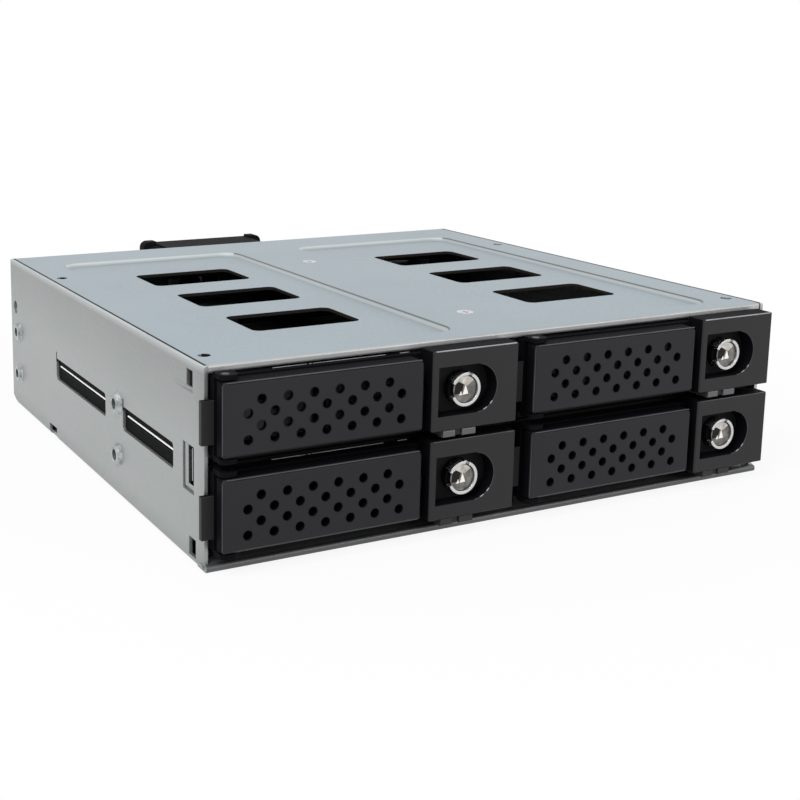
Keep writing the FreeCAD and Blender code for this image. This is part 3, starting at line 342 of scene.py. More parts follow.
def tile(name, low, high, body, slot, material, soft=TILE_EDGE):
    """A small block between two corners, with its edges rounded by soft mm."""
    shape = bmesh.new()
    bmesh.ops.create_cube(shape, size=1)
    low, high = Vector(low), Vector(high)
    size = [abs(v) for v in high - low]
    bmesh.ops.scale(shape, vec=size, verts=shape.verts)
    bmesh.ops.bevel(shape, geom=shape.edges[:], offset=soft * MM, segments=2, affect="EDGES", profile=0.5)
    bmesh.ops.translate(shape, vec=(low + high) / 2, verts=shape.verts)
    mesh = to_mesh(shape, name)
    mesh.materials.append(material)
    return piece(name, mesh, body, slot)


# %% [markdown]
# ## Dressing a frame node face by face
# Where one moulding has more than one surface, such as a textured front on polished black sides, the
# node's mesh is copied, its loose triangles are merged, and each face gets a material by where it lies
# and which way it faces. The copy then stands for the node. Cutting the moulding into separate pieces
# would leave seams that the real one lacks.

# %% Copy a node and paint its faces
SAME_PLACE = 0.0005                    # mm, vertices nearer than this are one


def painted(node, body, slot, materials, choose):
    """Paints a copy of a node, whose faces take materials[choose(centre, normal)]; returns their counts."""
    shape = bmesh.new()
    shape.from_mesh(frame["nodes"][node].data)
    bmesh.ops.remove_doubles(shape, verts=shape.verts, dist=SAME_PLACE * MM)
    shape.normal_update()
    counts = [0] * len(materials)
    for face in shape.faces:
        face.smooth = False
        face.material_index = choose(face.calc_center_median(), face.normal)
        counts[face.material_index] += 1
    mesh = to_mesh(shape, node + "_dressed")
    for material in materials:
        mesh.materials.append(material)
    copy = piece(node + "_dressed", mesh, body, slot)
    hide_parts(node)
    return counts


# %% [markdown]
# ## The tray front
# The front is one moulding: a plate behind the lever, a tab that hooks over the casing's edge, and the
# thick block that holds the lock. Only what faces the user is textured; the rest is painted shade, a
# near-black that stands for the shadow on its other faces. The pocket's floor is painted shade as well,
# and on the right trays the tab, which sits in shade, gets a lighter plastic as painted light.

# %% Paint the tray fronts
BLOCK_LEFT, BLOCK_RIGHT, BLOCK_HEAD = 12.0, 33.1, 21.35
TAB_RIGHT = -34.9
POCKET_FLOOR = -2.0
FRONT_LAYER = 1.0                      # faces this near the front belong to it
# IN_SHADE and POCKET faces are painted shade; TAB faces on the right trays are a lighter plastic as painted
# light
TEXTURED, IN_SHADE, POCKET, TAB = range(4)


def front_chooser(tray):
    """A function that picks the finish of a tray front's face."""
    block_side = spot(tray, BLOCK_LEFT - 0.1, 0, 0).x
    block_face = spot(tray, 0, LEVER_FRONT + FRONT_LAYER, 0).y
    floor_y = spot(tray, 0, POCKET_FLOOR, 0).y
    tab_side = spot(tray, TAB_RIGHT, 0, 0).x

    def choose(centre, normal):
        if centre.x > block_side and normal.y < -0.4:
            if centre.y < block_face:
                return TEXTURED
            return POCKET if abs(centre.y - floor_y) < 0.2 * MM else IN_SHADE
        on_tab = centre.x < tab_side and (normal.y < -0.5 or normal.x < -0.5)
        return TAB if on_tab else IN_SHADE

    return choose


for tray in TRAYS:
    # painted light: the right trays' tabs take the lighter plastic
    tab = tab_painted_light if tray.endswith("right") else finishes["tray_plastic"]
    coats = [finishes["tray_plastic"], shade_black, pocket_shade, tab]
    counts = painted("bezel_" + tray, "tray_" + tray, "tray_plastic", coats, front_chooser(tray))
    print(tray, "faces on front, sides, pocket and tab:", counts)

# %% [markdown]
# The moulding's top edge is rounded over and catches the light, painted as a thin bright line; on the upper
# row, under the open sky, it is the brightest line on the front. The pocket round the lock has a dim painted
# highlight along its rim and two brighter painted glints at its lower right, and the tab's top edge has a
# dim painted highlight.

# %% Painted highlights on the lock block's edges
LOCK_ACROSS, LOCK_UP = 20.8, 12.4
POCKET_ACROSS, POCKET_UP, POCKET_RADIUS = 22.9, 12.65, 5.2
RIM_ARC = (80, -85)                    # degrees, the rounded end of the pocket
# where the two painted glints lie on the pocket's rim
GLINT_ARCS = ((-38, -47), (-58, -68))
TAB_EDGE, TAB_FRONT, TAB_HEAD = (-37.3, -34.6), -1.4, 15.75
UPPER_LINE, LOWER_LINE, RIM_LINE, GLINT_LINE, TAB_LINE = 0.14, 0.1, 0.07, 0.11, 0.09


def arc(tray, radius, back, start, end, steps):
    """Points on an arc round the middle of the lock's pocket."""
    turns = [math.radians(start + (end - start) * i / steps) for i in range(steps + 1)]
    return [spot(tray, POCKET_ACROSS + radius * math.cos(t), back, POCKET_UP + radius * math.sin(t))
            for t in turns]


for tray in TRAYS:
    body = "tray_" + tray
    upper = tray.startswith("upper")
    ends = (BLOCK_LEFT + 0.7, BLOCK_RIGHT - 0.4)
    line = [spot(tray, x, LEVER_FRONT + 0.09, BLOCK_HEAD - 0.1) for x in ends]
    bead("block_top_edge_" + tray, line, UPPER_LINE if upper else LOWER_LINE, body, "tray_plastic",
         edge_highlight if upper else dim_edge_highlight)
    rim = arc(tray, POCKET_RADIUS, LEVER_FRONT + 0.05, *RIM_ARC, 18)
    bead("pocket_rim_" + tray, rim, RIM_LINE, body, "tray_plastic", dim_edge_highlight)
    for start, end in GLINT_ARCS:
        glint = arc(tray, POCKET_RADIUS - 0.05, LEVER_FRONT + 0.04, start, end, 4)
        bead("pocket_glint_%s_%d" % (tray, -start), glint, GLINT_LINE, body, "tray_plastic", edge_highlight)
    edge = [spot(tray, x, TAB_FRONT, TAB_HEAD) for x in TAB_EDGE]
    bead("tab_edge_" + tray, edge, TAB_LINE, body, "tray_plastic", dim_edge_highlight)
print("edge lines:", (3 + len(GLINT_ARCS)) * len(TRAYS))

# %% [markdown]
# ## The lever
# The lever is a thin tray-wide handle with a perforated face that lets air through. Its face is textured;
# the walls of the holes and its hidden sides are painted shade, in near-black. Its top and left edges
# carry dim painted highlights as thin lines.

# %% Paint the levers
LEVER_LAYER = 0.6                      # faces this near the lever's front belong to it
LEVER_INSET = 0.12                     # the edge lines lie this far in from the lever's edges
HEAD_LINE, SIDE_LINE = 0.12, 0.07


def facing_front(depth):
    """A function that picks the textured finish for forward faces in front of a depth."""
    def choose(centre, normal):
        return TEXTURED if centre.y < depth and normal.y < -0.3 else IN_SHADE

    return choose


for tray in TRAYS:
    body = "lever_" + tray
    face_depth = spot(tray, 0, LEVER_FRONT + LEVER_LAYER, 0).y
    counts = painted(body, body, "lever_finish", [finishes["lever_finish"], shade_black],
                     facing_front(face_depth))
    front = LEVER_FRONT + LEVER_INSET
    head = [spot(tray, x, front, LEVER_HEAD - LEVER_INSET) for x in (LEVER_LEFT + 0.9, LEVER_RIGHT - 0.7)]
    bead("lever_top_edge_" + tray, head, HEAD_LINE, body, "lever_finish", dim_edge_highlight)
    side = [spot(tray, LEVER_LEFT + LEVER_INSET, front, z) for z in (LEVER_FOOT + 0.7, LEVER_HEAD - 0.7)]
    bead("lever_side_edge_" + tray, side, SIDE_LINE, body, "lever_finish", dim_edge_highlight)
    print(body, "faces textured and polished:", counts)

# %% [markdown]
# ## Perforations with Geometry Nodes
# The holes stand in thirteen columns, two to a column, and every second column sits one step lower. Each
# hole has a slightly raised mouth left by the mould. Placing the rings by hand would mean 104 copies; a
# small node tree places them by rule. The tree takes its counts and sizes as named inputs and ends in
# Realize Instances and Set Material.

# %% Build a node tree with named inputs
def new_tree(name, inputs):
    """A geometry node tree with float or whole-number inputs; returns the tree and its input node."""
    tree = bpy.data.node_groups.new(name, "GeometryNodeTree")
    for label, value in inputs.items():
        kind = "NodeSocketInt" if isinstance(value, int) else "NodeSocketFloat"
        socket = tree.interface.new_socket(name=label, in_out="INPUT", socket_type=kind)
        socket.default_value = value
    tree.interface.new_socket(name="Geometry", in_out="OUTPUT", socket_type="NodeSocketGeometry")
    return tree, tree.nodes.new("NodeGroupInput")


def finish_tree(tree, geometry, material):
    realize = tree.nodes.new("GeometryNodeRealizeInstances")
    coat = tree.nodes.new("GeometryNodeSetMaterial")
    coat.inputs["Material"].default_value = material
    output = tree.nodes.new("NodeGroupOutput")
    tree.links.new(geometry, realize.inputs[0])
    tree.links.new(realize.outputs[0], coat.inputs["Geometry"])
    tree.links.new(coat.outputs[0], output.inputs[0])


def grow(name, tree, values, place, body, slot):
    """Runs a tree with values for its inputs and keeps the result as a plain mesh at a place."""
    holder = bpy.data.objects.new(name + "_seed", bpy.data.meshes.new(name + "_seed"))
    bpy.context.scene.collection.objects.link(holder)
    modifier = holder.modifiers.new("grow", "NODES")
    modifier.node_group = tree
    for item in tree.interface.items_tree:
        if item.item_type == "SOCKET" and item.in_out == "INPUT" and item.name in values:
            modifier[item.identifier] = values[item.name]
    mesh = bpy.data.meshes.new_from_object(holder.evaluated_get(bpy.context.evaluated_depsgraph_get()))
    holder.modifiers.remove(modifier)
    bpy.data.objects.remove(holder)
    mesh.transform(Matrix.Translation(place))
    mesh.name = name
    return piece(name, mesh, body, slot)


def feed(tree, node, values):
    """Gives a node's inputs plain numbers or links, and returns its first output."""
    for socket, value in zip(node.inputs, values):
        if isinstance(value, (int, float)):
            socket.default_value = value
        else:
            tree.links.new(value, socket)
    return node.outputs[0]


def maths(tree, operation, first, second):
    node = tree.nodes.new("ShaderNodeMath")
    node.operation = operation
    return feed(tree, node, (first, second))


def vector(tree, x=0.0, y=0.0, z=0.0):
    return feed(tree, tree.nodes.new("ShaderNodeCombineXYZ"), (x, y, z))


# %% The hole mouths
COLUMNS, COLUMN_STEP, ROW_STEP, HOLE_RADIUS, LIP = 13, 2.845, 2.62, 1.05, 0.07
FIRST_COLUMN, FIRST_ROW = -29.46, 16.23
RING_SIDES, LIP_SIDES = 18, 6
tree, given = new_tree("hole_mouths", {"Columns": COLUMNS, "Column Step": COLUMN_STEP * MM,
                                       "Row Step": ROW_STEP * MM, "Hole Radius": HOLE_RADIUS * MM,
                                       "Lip": LIP * MM})
row = tree.nodes.new("GeometryNodeMeshLine")
tree.links.new(given.outputs["Columns"], row.inputs["Count"])
tree.links.new(vector(tree, x=given.outputs["Column Step"]), row.inputs["Offset"])
index = tree.nodes.new("GeometryNodeInputIndex")
even = maths(tree, "SUBTRACT", 1.0, maths(tree, "MODULO", index.outputs[0], 2.0))
drop = maths(tree, "MULTIPLY", maths(tree, "MULTIPLY", even, given.outputs["Row Step"]), -1.0)
stagger = tree.nodes.new("GeometryNodeSetPosition")
tree.links.new(row.outputs[0], stagger.inputs["Geometry"])
tree.links.new(vector(tree, z=drop), stagger.inputs["Offset"])
second = tree.nodes.new("GeometryNodeSetPosition")
two_down = maths(tree, "MULTIPLY", given.outputs["Row Step"], -2.0)
tree.links.new(stagger.outputs[0], second.inputs["Geometry"])
tree.links.new(vector(tree, z=two_down), second.inputs["Offset"])
both = tree.nodes.new("GeometryNodeJoinGeometry")
tree.links.new(stagger.outputs[0], both.inputs[0])
tree.links.new(second.outputs[0], both.inputs[0])
ring = tree.nodes.new("GeometryNodeCurvePrimitiveCircle")
ring.inputs["Resolution"].default_value = RING_SIDES
tree.links.new(given.outputs["Hole Radius"], ring.inputs["Radius"])
section = tree.nodes.new("GeometryNodeCurvePrimitiveCircle")
section.inputs["Resolution"].default_value = LIP_SIDES
tree.links.new(given.outputs["Lip"], section.inputs["Radius"])
sweep = tree.nodes.new("GeometryNodeCurveToMesh")
tree.links.new(ring.outputs[0], sweep.inputs["Curve"])
tree.links.new(section.outputs[0], sweep.inputs["Profile Curve"])
scatter = tree.nodes.new("GeometryNodeInstanceOnPoints")
tree.links.new(both.outputs[0], scatter.inputs["Points"])
tree.links.new(sweep.outputs[0], scatter.inputs["Instance"])
scatter.inputs["Rotation"].default_value = (math.pi / 2, 0, 0)
finish_tree(tree, scatter.outputs[0], finishes["lever_finish"])
for tray in TRAYS:
    place = spot(tray, FIRST_COLUMN, LEVER_FRONT + 0.02, FIRST_ROW)
    mouths = grow("hole_mouths_" + tray, tree, {"Columns": COLUMNS}, place, "lever_" + tray, "lever_finish")
print("hole mouths on one lever:", len(mouths.data.polygons), "faces")

# %% [markdown]
# ## Contacts in the drive connectors
# Each connector on the board has a row of gold contacts along its slot. They repeat at one pitch, so they
# come from a second small tree: a line of points with a bar on each.

# %% The contact rows
CONTACTS, CONTACT_STEP = 15, 1.27
CONTACT_WIDTH, CONTACT_LENGTH, CONTACT_THICKNESS = 0.6, 5.0, 0.2
SOCKET_LEFT, SOCKET_FOOT = -18.0, 6.6
SLOT_SIDE, SLOT_DEPTH, SLOT_FLOOR = 1.11, 3.0, 0.12
tree, given = new_tree("contact_row", {"Contacts": CONTACTS, "Step": CONTACT_STEP * MM,
                                       "Width": CONTACT_WIDTH * MM, "Length": CONTACT_LENGTH * MM,
                                       "Thickness": CONTACT_THICKNESS * MM})
row = tree.nodes.new("GeometryNodeMeshLine")
tree.links.new(given.outputs["Contacts"], row.inputs["Count"])
tree.links.new(vector(tree, x=given.outputs["Step"]), row.inputs["Offset"])
bar = tree.nodes.new("GeometryNodeMeshCube")
size = vector(tree, given.outputs["Width"], given.outputs["Length"], given.outputs["Thickness"])
tree.links.new(size, bar.inputs["Size"])
scatter = tree.nodes.new("GeometryNodeInstanceOnPoints")
tree.links.new(row.outputs[0], scatter.inputs["Points"])
tree.links.new(bar.outputs[0], scatter.inputs["Instance"])
finish_tree(tree, scatter.outputs[0], contact_gold)
socket_front = corners("drive_connectors")[0].y
for tray in TRAYS:
    start = spot(tray, SOCKET_LEFT + SLOT_SIDE, 0, SOCKET_FOOT + SLOT_FLOOR)
    start.y = socket_front + SLOT_DEPTH * MM
    grow("contacts_" + tray, tree, {"Contacts": CONTACTS}, start, "casing", "standoff_brass")
print("contacts:", CONTACTS * len(TRAYS))

# %% [markdown]
# ## The lock
# A split ring of polished metal holds a turning barrel. The barrel's face is worn grey metal with a
# painted highlight on its upper part, a square drive pocket whose depth is painted as a dark shade, and two
# raised pointers, which are bare and bright. The barrel's sides are painted shade black. The barrel is built
# here from its outline: a disc with a shallow face, and the small parts laid on it.

# %% Lock barrels
CORE_RADIUS, CORE_FACE = 2.87, -4.5
PLATE_BACK = CORE_FACE + 0.12          # the parts laid on the face end here, where the barrel starts
BARREL_SIDES = 40
CROWN_RADIUS = 2.7
CROWN_ARC = [math.radians(degrees) for degrees in range(40, 156, 10)]
CROWN = [(CROWN_RADIUS * math.cos(t), CROWN_RADIUS * math.sin(t)) for t in CROWN_ARC]
CROWN += [(-1.6, 1.75), (-0.3, 1.05), (0.6, 0.75)]
DRIVE_POCKET = [(-2.55, -0.9), (-0.8, -0.9), (-0.3, 1.0), (-1.6, 1.7), (-2.35, 1.05)]
POINTER = [(-0.55, -1.15), (0.8, -1.05), (0.1, 0.95)]
SMALL_POINTER = [(-1.45, -1.2), (-0.75, -1.2), (-0.95, -0.3)]
bare_metal = finish("bare_pointer", (0.90, 0.88, 0.84), 0.25, metal=0.3, grain=2500, edge=0)
# painted highlight on the upper part of the lock's face
crown_highlight = finish("crown_highlight", (0.52, 0.49, 0.45), 0.3, metal=0.8, shift=0.3, grain=2500, patch=900,
                    edge=0)
# painted shade for the depth of the drive pocket
keyhole_shade = finish("keyhole_shade", (0.012, 0.011, 0.010), 0.5, grain=2500, edge=0, specular=0.1)
LAID_ON = (("face_crown", CROWN, CORE_FACE + 0.02, crown_highlight),
           ("drive_pocket", DRIVE_POCKET, CORE_FACE + 0.06, keyhole_shade),
           ("pointer", POINTER, CORE_FACE, bare_metal),
           ("small_pointer", SMALL_POINTER, CORE_FACE, bare_metal))


def barrel_mesh(tray, rear):
    """A disc on the lock's axis, from its face to a rear depth, in painted shade black except in front."""
    turns = [2 * math.pi * i / BARREL_SIDES for i in range(BARREL_SIDES)]
    centre = spot(tray, LOCK_ACROSS, 0, LOCK_UP)
    radius = CORE_RADIUS * MM
    outline = [(centre.x + radius * math.cos(t), centre.z + radius * math.sin(t)) for t in turns]
    mesh = to_mesh(prism(outline, FRONT + PLATE_BACK * MM, FRONT + rear * MM), "lock_barrel_" + tray)
    mesh.materials.append(finishes["lock_metal"])
    mesh.materials.append(shade_black)
    for face in mesh.polygons:
        face.material_index = 0 if face.normal.y < -0.5 else 1
    return mesh


def laid_on(name, tray, outline, front, material):
    """A thin part laid on the lock's face, from an outline measured from the lock's axis."""
    points = [spot(tray, LOCK_ACROSS + x, 0, LOCK_UP + z) for x, z in outline]
    shape = prism([(p.x, p.z) for p in points], FRONT + front * MM, FRONT + PLATE_BACK * MM)
    mesh = to_mesh(shape, name + "_" + tray)
    mesh.materials.append(material)
    return piece(name + "_" + tray, mesh, "lock_" + tray, "lock_metal")


for tray in TRAYS:
    rear = (corners("lock_core_" + tray)[1].y - FRONT) / MM
    barrel = piece("lock_barrel_" + tray, barrel_mesh(tray, rear), "lock_" + tray, "lock_metal")
    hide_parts("lock_core_" + tray)
    for name, outline, front, material in LAID_ON:
        laid_on(name, tray, outline, front, material)
print("lock faces:", len(TRAYS))

# %% [markdown]
# The ring is polished metal at its front; deeper in the pocket, where shadow falls, it is painted shade
# black.

# %% Paint the rings
# behind this depth the ring is painted shade black
RING_BRIGHT = -3.9                     # the ring is bright in front of this depth
for tray in TRAYS:
    ring_depth = spot(tray, 0, RING_BRIGHT, 0).y

    def front_half(centre, normal):
        return 0 if centre.y < ring_depth else 1

    counts = painted("lock_ring_" + tray, "tray_" + tray, "lock_chrome",
                     [finishes["lock_chrome"], shade_black], front_half)
print("ring faces bright and dark:", counts)

# %% [markdown]
# ## The cover
# The cover is one pressed sheet with two shallow dishes. The light falls unevenly on the slopes of a dish:
# those that face the front and the left get a painted highlight, those that face away a little painted
# shade. The copy of the sheet is painted by the direction of each slope, and the cut edges of its openings
# are left dark.

# %% A finish that changes down a slope
cover_low, cover_high = corners("top_cover")
COVER_TOP = cover_high.z
DISH_DEPTH = 1.0


def slope_finish(name, stops, foot=COVER_TOP - DISH_DEPTH * MM, tint=(0.90, 0.97, 1.0), edge=0.0):
    """Sheet whose brightness follows the height above a foot; stops are (share of the rise, brightness)."""
    material = finish(name, tint, 0.4, metal=0.75, shift=0.04, grain=1500, bump=0.1, edge=edge, specular=0.3)
    tree = material.node_tree
    coords = tree.nodes.new("ShaderNodeTexCoord")
    split = tree.nodes.new("ShaderNodeSeparateXYZ")
    link(tree, coords, "Object", split, 0)
    rise = tree.nodes.new("ShaderNodeMapRange")
    rise.inputs["From Min"].default_value = foot
    rise.inputs["From Max"].default_value = COVER_TOP
    link(tree, split, "Z", rise, "Value")
    band = tree.nodes.new("ShaderNodeValToRGB")
    elements = band.color_ramp.elements
    while len(elements) < len(stops):
        elements.new(0.5)                  # its place is set below
    for element, (place, level) in zip(elements, stops):
        element.position = place
        element.color = (level, level, level, 1)
    link(tree, rise, "Result", band, "Fac")
    shader = tree.nodes["Principled BSDF"]
    both = tree.nodes.new("ShaderNodeMix")
    both.data_type = "RGBA"
    both.blend_type = "MULTIPLY"
    both.inputs[0].default_value = 1.0
    tree.links.new(shader.inputs["Base Color"].links[0].from_socket, both.inputs[MIX_A])
    tree.links.new(band.outputs["Color"], both.inputs[MIX_B])
    tree.links.new(both.outputs[MIX_OUT], shader.inputs["Base Color"])
    return material


# %% Paint the cover's slopes
# painted light and shade by slope: the back and right slopes are lit, the right one with a thin line of
# painted shade near its top, and the left slope is shaded
lit_back_slope = slope_finish("lit_back_slope", ((0.0, 0.42), (0.35, 0.52), (0.7, 0.66), (1.0, 0.44)))
lit_right_slope = slope_finish("lit_right_slope",
                           ((0.0, 0.42), (0.40, 0.52), (0.62, 0.44), (0.84, 0.11), (1.0, 0.36)))
shaded_left_slope = slope_finish("shaded_left_slope", ((0.0, 0.41), (0.8, 0.39), (1.0, 0.31)))

FLAT, BACK, RIGHT, LEFT, HEM, CUT = range(6)
HEM_DEPTH = 1.5                        # forward faces this near the front are the hem
RIM_WIDTH = 3.0                        # upright faces further in than this belong to openings
LEVEL, UPRIGHT = 0.985, 0.05           # the normal's z past which a face is level, or stands up


def slope(centre, normal):
    """The finish of a face of the cover."""
    if centre.y < FRONT + HEM_DEPTH * MM and normal.y < -0.2:
        return HEM
    rim = RIM_WIDTH * MM
    inside = abs(centre.x) < cover_high.x - rim and FRONT + rim < centre.y < cover_high.y - rim
    if inside and abs(normal.z) < 0.1:
        return CUT
    if centre.z < COVER_TOP - 1.2 * DISH_DEPTH * MM or not UPRIGHT < normal.z < LEVEL:
        return FLAT
    if normal.y < -0.35:
        return BACK
    if normal.x < -0.15:
        return RIGHT
    return LEFT if normal.x > 0.15 else FLAT


coats = [finishes["cover_steel"], lit_back_slope, lit_right_slope, shaded_left_slope, cover_hem, vent_edge]
counts = painted("top_cover", "casing", "cover_steel", coats, slope)
print("cover faces flat, back, right, left, hem and cut edges:", counts)

# %% [markdown]
# Where the cover drops in beside the side wall there is a dark seam. It runs the whole length of the
# cage, so it is one long thin piece on either side.

# %% Seams beside the cover
SEAM_INSIDE, SEAM_OUTSIDE = 0.22, 0.34  # how far the seam reaches in and out from the cover's edge
SEAM_DEPTH, SEAM_RISE, SEAM_START, SEAM_EDGE = 0.5, 0.02, 0.3, 0.01
for side, sign, edge_x in (("left", -1, cover_low.x), ("right", 1, cover_high.x)):
    start = (edge_x - sign * SEAM_INSIDE * MM, cover_low.y + SEAM_START * MM, COVER_TOP - SEAM_DEPTH * MM)
    end = (edge_x + sign * SEAM_OUTSIDE * MM, cover_high.y, COVER_TOP + SEAM_RISE * MM)
    tile("cover_seam_" + side, start, end, "casing", "guide_plastic", dark_seam, soft=SEAM_EDGE)
print("seams:", len(SIDES))

# %% [markdown]
# ## The pan and its walls
# The pan's floor ends in a rolled lip under the lower trays. It lies in shade, so it is painted darker than
# the walls. The walls' folded top edges and the flanks of the raised screw holes get painted highlights, the
# holes themselves painted shade, and the walls carry painted shade at the foot and under the fold and a
# painted highlight along the fold.

# %% Paint the pan
pan_high = corners("base_pan")[1]
# painted shade at the foot and under the fold, and a painted highlight along the fold at the top
WALL_SHADING = ((0.0, 0.31), (0.12, 0.39), (0.6, 0.40), (0.90, 0.335), (0.965, 0.325), (0.978, 0.40),
             (1.0, 0.52))
wall_shade_and_highlight = slope_finish("wall_shade_and_highlight", WALL_SHADING, foot=0.0, tint=(0.93, 1.0, 0.985), edge=0.3)
PLAIN, LIP_IN_SHADE, TOP_HIGHLIGHT, BOSS_LIT, SHADED = range(5)
LIP_HEAD, LIP_HALF = 3.0, 72.0         # the lip's height, and half its width between the walls


def pan_surface(centre, normal):
    """The finish of a face of the pan."""
    on_front = centre.y < FRONT + 0.02 * MM
    # the lip is painted shade; the walls' top faces and the bosses' flanks get painted highlights, the
    # bosses' holes painted shade
    if on_front and centre.z < LIP_HEAD * MM and abs(centre.x) < LIP_HALF * MM:
        return LIP_IN_SHADE
    if centre.z > pan_high.z - 0.3 * MM and normal.z > 0.5:
        return TOP_HIGHLIGHT
    if abs(centre.x) < pan_high.x - (BOSS_REACH - 0.04) * MM:
        return PLAIN
    return BOSS_LIT if abs(normal.x) > 0.2 else SHADED


coats = [wall_shade_and_highlight, lip_shade, bright_bend, boss_highlight, shaded_bend]
counts = painted("base_pan", "casing", "cage_steel", coats, pan_surface)
print("pan faces plain, worn, bright, rubbed and shaded:", counts)

# %% [markdown]
# ## The side wall's slots and windows
# Through each slot the dark runner of a tray shows; a dark tile inside the slot is painted shade, and the
# runner's edge catches the light, painted as one bright line. The middle window has a pressed frame that
# steps inwards before the opening proper, and each slot ends in a fine vertical relief cut.

# %% Slot lines and relief cuts
SLOT_LOW, SLOT_HIGH = 16.6, 22.1
SLOTS = ((14.3, 29.3), (54.9, 37.2))   # where each slot starts, and its length
LINE_OUT, LINE_DROP, LINE_RADIUS = -0.55, 1.8, 0.19
SHADE_BACK, SHADE_FRONT, SHADE_GAP = -0.79, -0.69, 0.1
CUT_BACK, CUT_FRONT = -0.3, 0.03
for side in SIDES:
    for number, (start, length) in enumerate(SLOTS):
        end = start + length
        ending = "_%s_%d" % (side, number)
        line = [wall_spot(side, LINE_OUT, back, SLOT_HIGH - LINE_DROP) for back in (start + 0.3, end - 2.2)]
        bead("slot_line" + ending, line, LINE_RADIUS, "casing", "cage_steel", slot_highlight)
        tile("slot_shade" + ending, wall_spot(side, SHADE_BACK, start + SHADE_GAP, SLOT_LOW + SHADE_GAP),
             wall_spot(side, SHADE_FRONT, end - SHADE_GAP, SLOT_HIGH - SHADE_GAP), "casing", "guide_plastic",
             slot_shade_dark)
        tile("relief_cut" + ending, wall_spot(side, CUT_BACK, end - 0.55, SLOT_HIGH - 0.9),
             wall_spot(side, CUT_FRONT, end - 0.05, SLOT_HIGH + 1.7), "casing", "guide_plastic", dark_seam)
print("slot lines:", len(SIDES) * len(SLOTS))

# %% [markdown]
# The stepped frame is two shallow plates that leave a gap at the opening's edge. Behind the gap lie two
# darker plates of painted shade, so the gap reads as shadow, and the frame's own edge carries a painted
# highlight as a bright line.

# %% The stepped window
NEAR, FAR, FOOT, HEAD = 3.8, 9.3, 14.4, 24.2   # the window: back from, back to, up from, up to
SHADOW_GAP = 0.75                      # shows between the opening's edge and the frame
STEP_BACK, STEP_FOOT = 6.9, 16.1       # where the pressed frame stops
STEP_PLATE, SHADOW_PLATE = (-0.32, -0.22), (-0.62, -0.52)   # how deep the plates lie in the wall
EDGE_OUT, EDGE_RADIUS = -0.7, 0.12
steel = finishes["cage_steel"]
PLATES = (("window_step_rear_", STEP_PLATE, STEP_BACK, FAR - SHADOW_GAP, FOOT + SHADOW_GAP, HEAD, steel),
          ("window_step_foot_", STEP_PLATE, NEAR, STEP_BACK, FOOT + SHADOW_GAP, STEP_FOOT, steel),
          ("window_shadow_", SHADOW_PLATE, STEP_BACK, FAR, FOOT, HEAD, shaded_bend),
          ("window_sill_", SHADOW_PLATE, NEAR, STEP_BACK, FOOT, STEP_FOOT - 0.6, shaded_bend))
for side in SIDES:
    for name, (inner, outer), back0, back1, up0, up1, material in PLATES:
        tile(name + side, wall_spot(side, inner, back0, up0), wall_spot(side, outer, back1, up1), "casing",
             "cage_steel", material)
    line = [wall_spot(side, EDGE_OUT, NEAR + 2.2, up) for up in (STEP_FOOT + 0.6, HEAD - 0.8)]
    bead("window_edge_" + side, line, EDGE_RADIUS, "casing", "cage_steel", bright_bend)
print("window plates:", len(SIDES) * len(PLATES))

# %% [markdown]
# ## Highlights on the edges above the levers
# The front edges of the painted shelf and of the cover's lip catch the light above each lever, painted as
# short broken bright lines.

# %% Painted highlights on the edges of the shelf and the lip
# where the painted highlights lie along the steel edges
EDGE_GLINTS = ((-57.9, -50.3), (-49.2, -49.8), (-48.9, -32.2), (-28.7, -26.5))
GLINT_RADIUS, LIP_DROP = 0.08, 1.9
heights = {"shelf": corners("mid_shelf")[1].z, "lip": pan_high.z - LIP_DROP * MM}
y = FRONT + 0.05 * MM
for number, (x0, x1) in enumerate(EDGE_GLINTS):
    for name, z in heights.items():
        line = [Vector((x0 * MM, y, z)), Vector((x1 * MM, y, z))]
        bead("%s_edge_glint_%d" % (name, number), line, GLINT_RADIUS, "casing", "inner_steel", edge_highlight)
print("edge_glints:", len(EDGE_GLINTS) * len(heights))

# %% [markdown]
# ## The floor, the light and the camera
# The cage stands on a pale floor under a broad, soft light. The camera has a mild telephoto lens and is
# shifted, as when a picture is cropped from a larger one.

# %% Floor
FLOOR_HALF = 12.0                      # m
FLOOR_COLOUR = (0.82, 0.82, 0.82, 1)
FADE_START, FADE_END = 0.10, 0.20      # m from the cage's middle
NEAR_SHARE = 0.90                      # plain white's share beside the cage; the rest takes the shadow


def looked_at(tree):
    """1 where the camera looks, straight or by way of metal or glass, and 0 where light is only gathered."""
    path = tree.nodes.new("ShaderNodeLightPath")
    seen = path.outputs["Is Camera Ray"]
    for kind in ("Is Glossy Ray", "Is Transmission Ray"):
        seen = maths(tree, "MAXIMUM", seen, path.outputs[kind])
    return seen


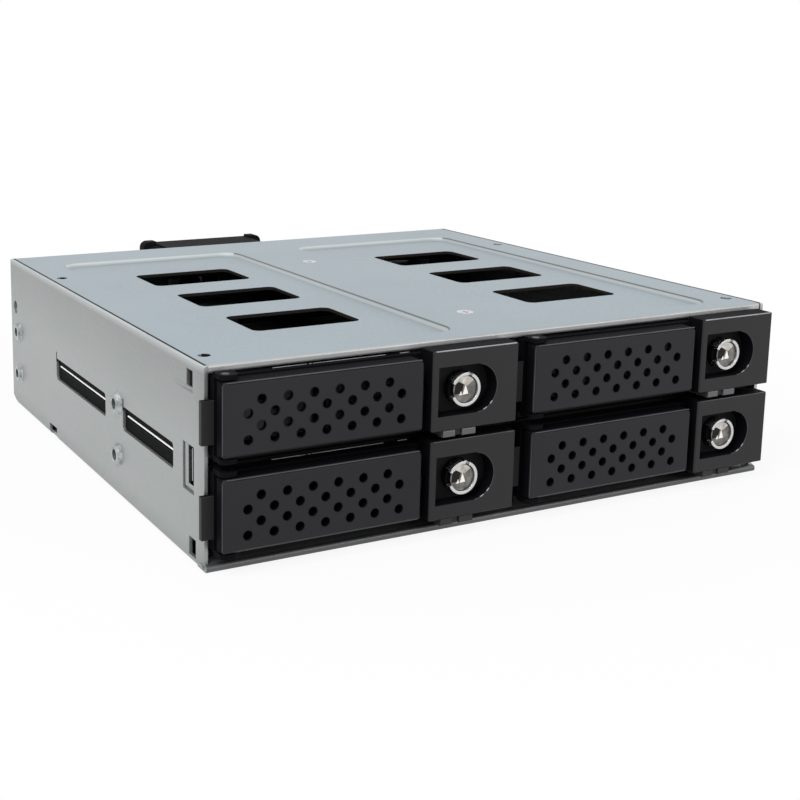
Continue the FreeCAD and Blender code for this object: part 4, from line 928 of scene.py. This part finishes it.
def stage_floor():
    """A pale floor that fades to plain white a little way out from the cage."""
    mesh = bpy.data.meshes.new("floor")
    rim = [(x * FLOOR_HALF, y * FLOOR_HALF, 0) for x, y in ((-1, -1), (1, -1), (1, 1), (-1, 1))]
    mesh.from_pydata(rim, [], [(0, 1, 2, 3)])
    floor = bpy.data.objects.new("floor", mesh)
    bpy.context.scene.collection.objects.link(floor)
    material = bpy.data.materials.new("pale_floor")
    material.use_nodes = True
    tree = material.node_tree
    tree.nodes.clear()
    output = tree.nodes.new("ShaderNodeOutputMaterial")
    matt = tree.nodes.new("ShaderNodeBsdfDiffuse")
    matt.inputs["Color"].default_value = FLOOR_COLOUR
    glow = tree.nodes.new("ShaderNodeEmission")
    glow.inputs["Strength"].default_value = 1.0
    coords = tree.nodes.new("ShaderNodeTexCoord")
    distance = tree.nodes.new("ShaderNodeVectorMath")
    distance.operation = "LENGTH"
    link(tree, coords, "Object", distance, 0)
    fade = tree.nodes.new("ShaderNodeMapRange")
    fade.inputs["From Min"].default_value = FADE_START
    fade.inputs["From Max"].default_value = FADE_END
    fade.inputs["To Min"].default_value = NEAR_SHARE
    tree.links.new(distance.outputs["Value"], fade.inputs["Value"])
    share = maths(tree, "MULTIPLY", looked_at(tree), fade.outputs["Result"])
    mix = tree.nodes.new("ShaderNodeMixShader")
    tree.links.new(share, mix.inputs[0])
    tree.links.new(matt.outputs[0], mix.inputs[1])
    tree.links.new(glow.outputs[0], mix.inputs[2])
    tree.links.new(mix.outputs[0], output.inputs["Surface"])
    mesh.materials.append(material)


stage_floor()

# %% World and lamps
def soft_world(level):
    """White to the camera and in reflections, softer on the object."""
    world = bpy.data.worlds.new("studio")
    bpy.context.scene.world = world
    world.use_nodes = True
    tree = world.node_tree
    back = tree.nodes["Background"]
    back.inputs["Color"].default_value = (1, 1, 1, 1)
    pick = tree.nodes.new("ShaderNodeMapRange")
    pick.inputs["To Min"].default_value = level
    pick.inputs["To Max"].default_value = 1.0
    tree.links.new(looked_at(tree), pick.inputs["Value"])
    link(tree, pick, "Result", back, "Strength")


def area_lamp(name, place, target, size, power):
    lamp = bpy.data.lights.new(name, "AREA")
    lamp.shape = "DISK"
    lamp.size = size
    lamp.energy = power
    holder = bpy.data.objects.new(name, lamp)
    bpy.context.scene.collection.objects.link(holder)
    holder.location = place
    holder.rotation_euler = (Vector(target) - Vector(place)).to_track_quat("-Z", "Y").to_euler()


soft_world(0.55)
area_lamp("key", (-0.55, -0.35, 0.75), (0, 0, 0.02), 0.6, 6.0)
area_lamp("fill", (0.5, -0.8, 0.3), (0, -0.07, 0.02), 0.5, 2.0)

# %% Camera
def look_from(place, azimuth, elevation, roll, lens, shift):
    """A camera at a place, turned by its azimuth, elevation and roll in degrees."""
    a, e, r = (math.radians(v) for v in (azimuth, elevation, roll))
    back = Vector((-math.sin(a) * math.cos(e), -math.cos(a) * math.cos(e), math.sin(e)))
    right = (-back).cross(Vector((0, 0, 1))).normalized()
    up = right.cross(-back)
    turned_right = math.cos(r) * right + math.sin(r) * up
    turned_up = -math.sin(r) * right + math.cos(r) * up
    camera = bpy.data.cameras.new("camera")
    camera.sensor_width = 36
    camera.lens = lens
    camera.shift_x, camera.shift_y = shift
    camera.clip_start = 0.01
    holder = bpy.data.objects.new("camera", camera)
    bpy.context.scene.collection.objects.link(holder)
    turn = Matrix((turned_right, turned_up, back)).transposed().to_4x4()
    holder.matrix_world = Matrix.Translation(Vector(place)) @ turn
    bpy.context.scene.camera = holder


look_from(place=(-0.168929, -0.292195, 0.10255), azimuth=25.573, elevation=9.973, roll=0.248, lens=58.25,
          shift=(0.1968, -0.1671))
bpy.context.scene.view_settings.view_transform = "Standard"
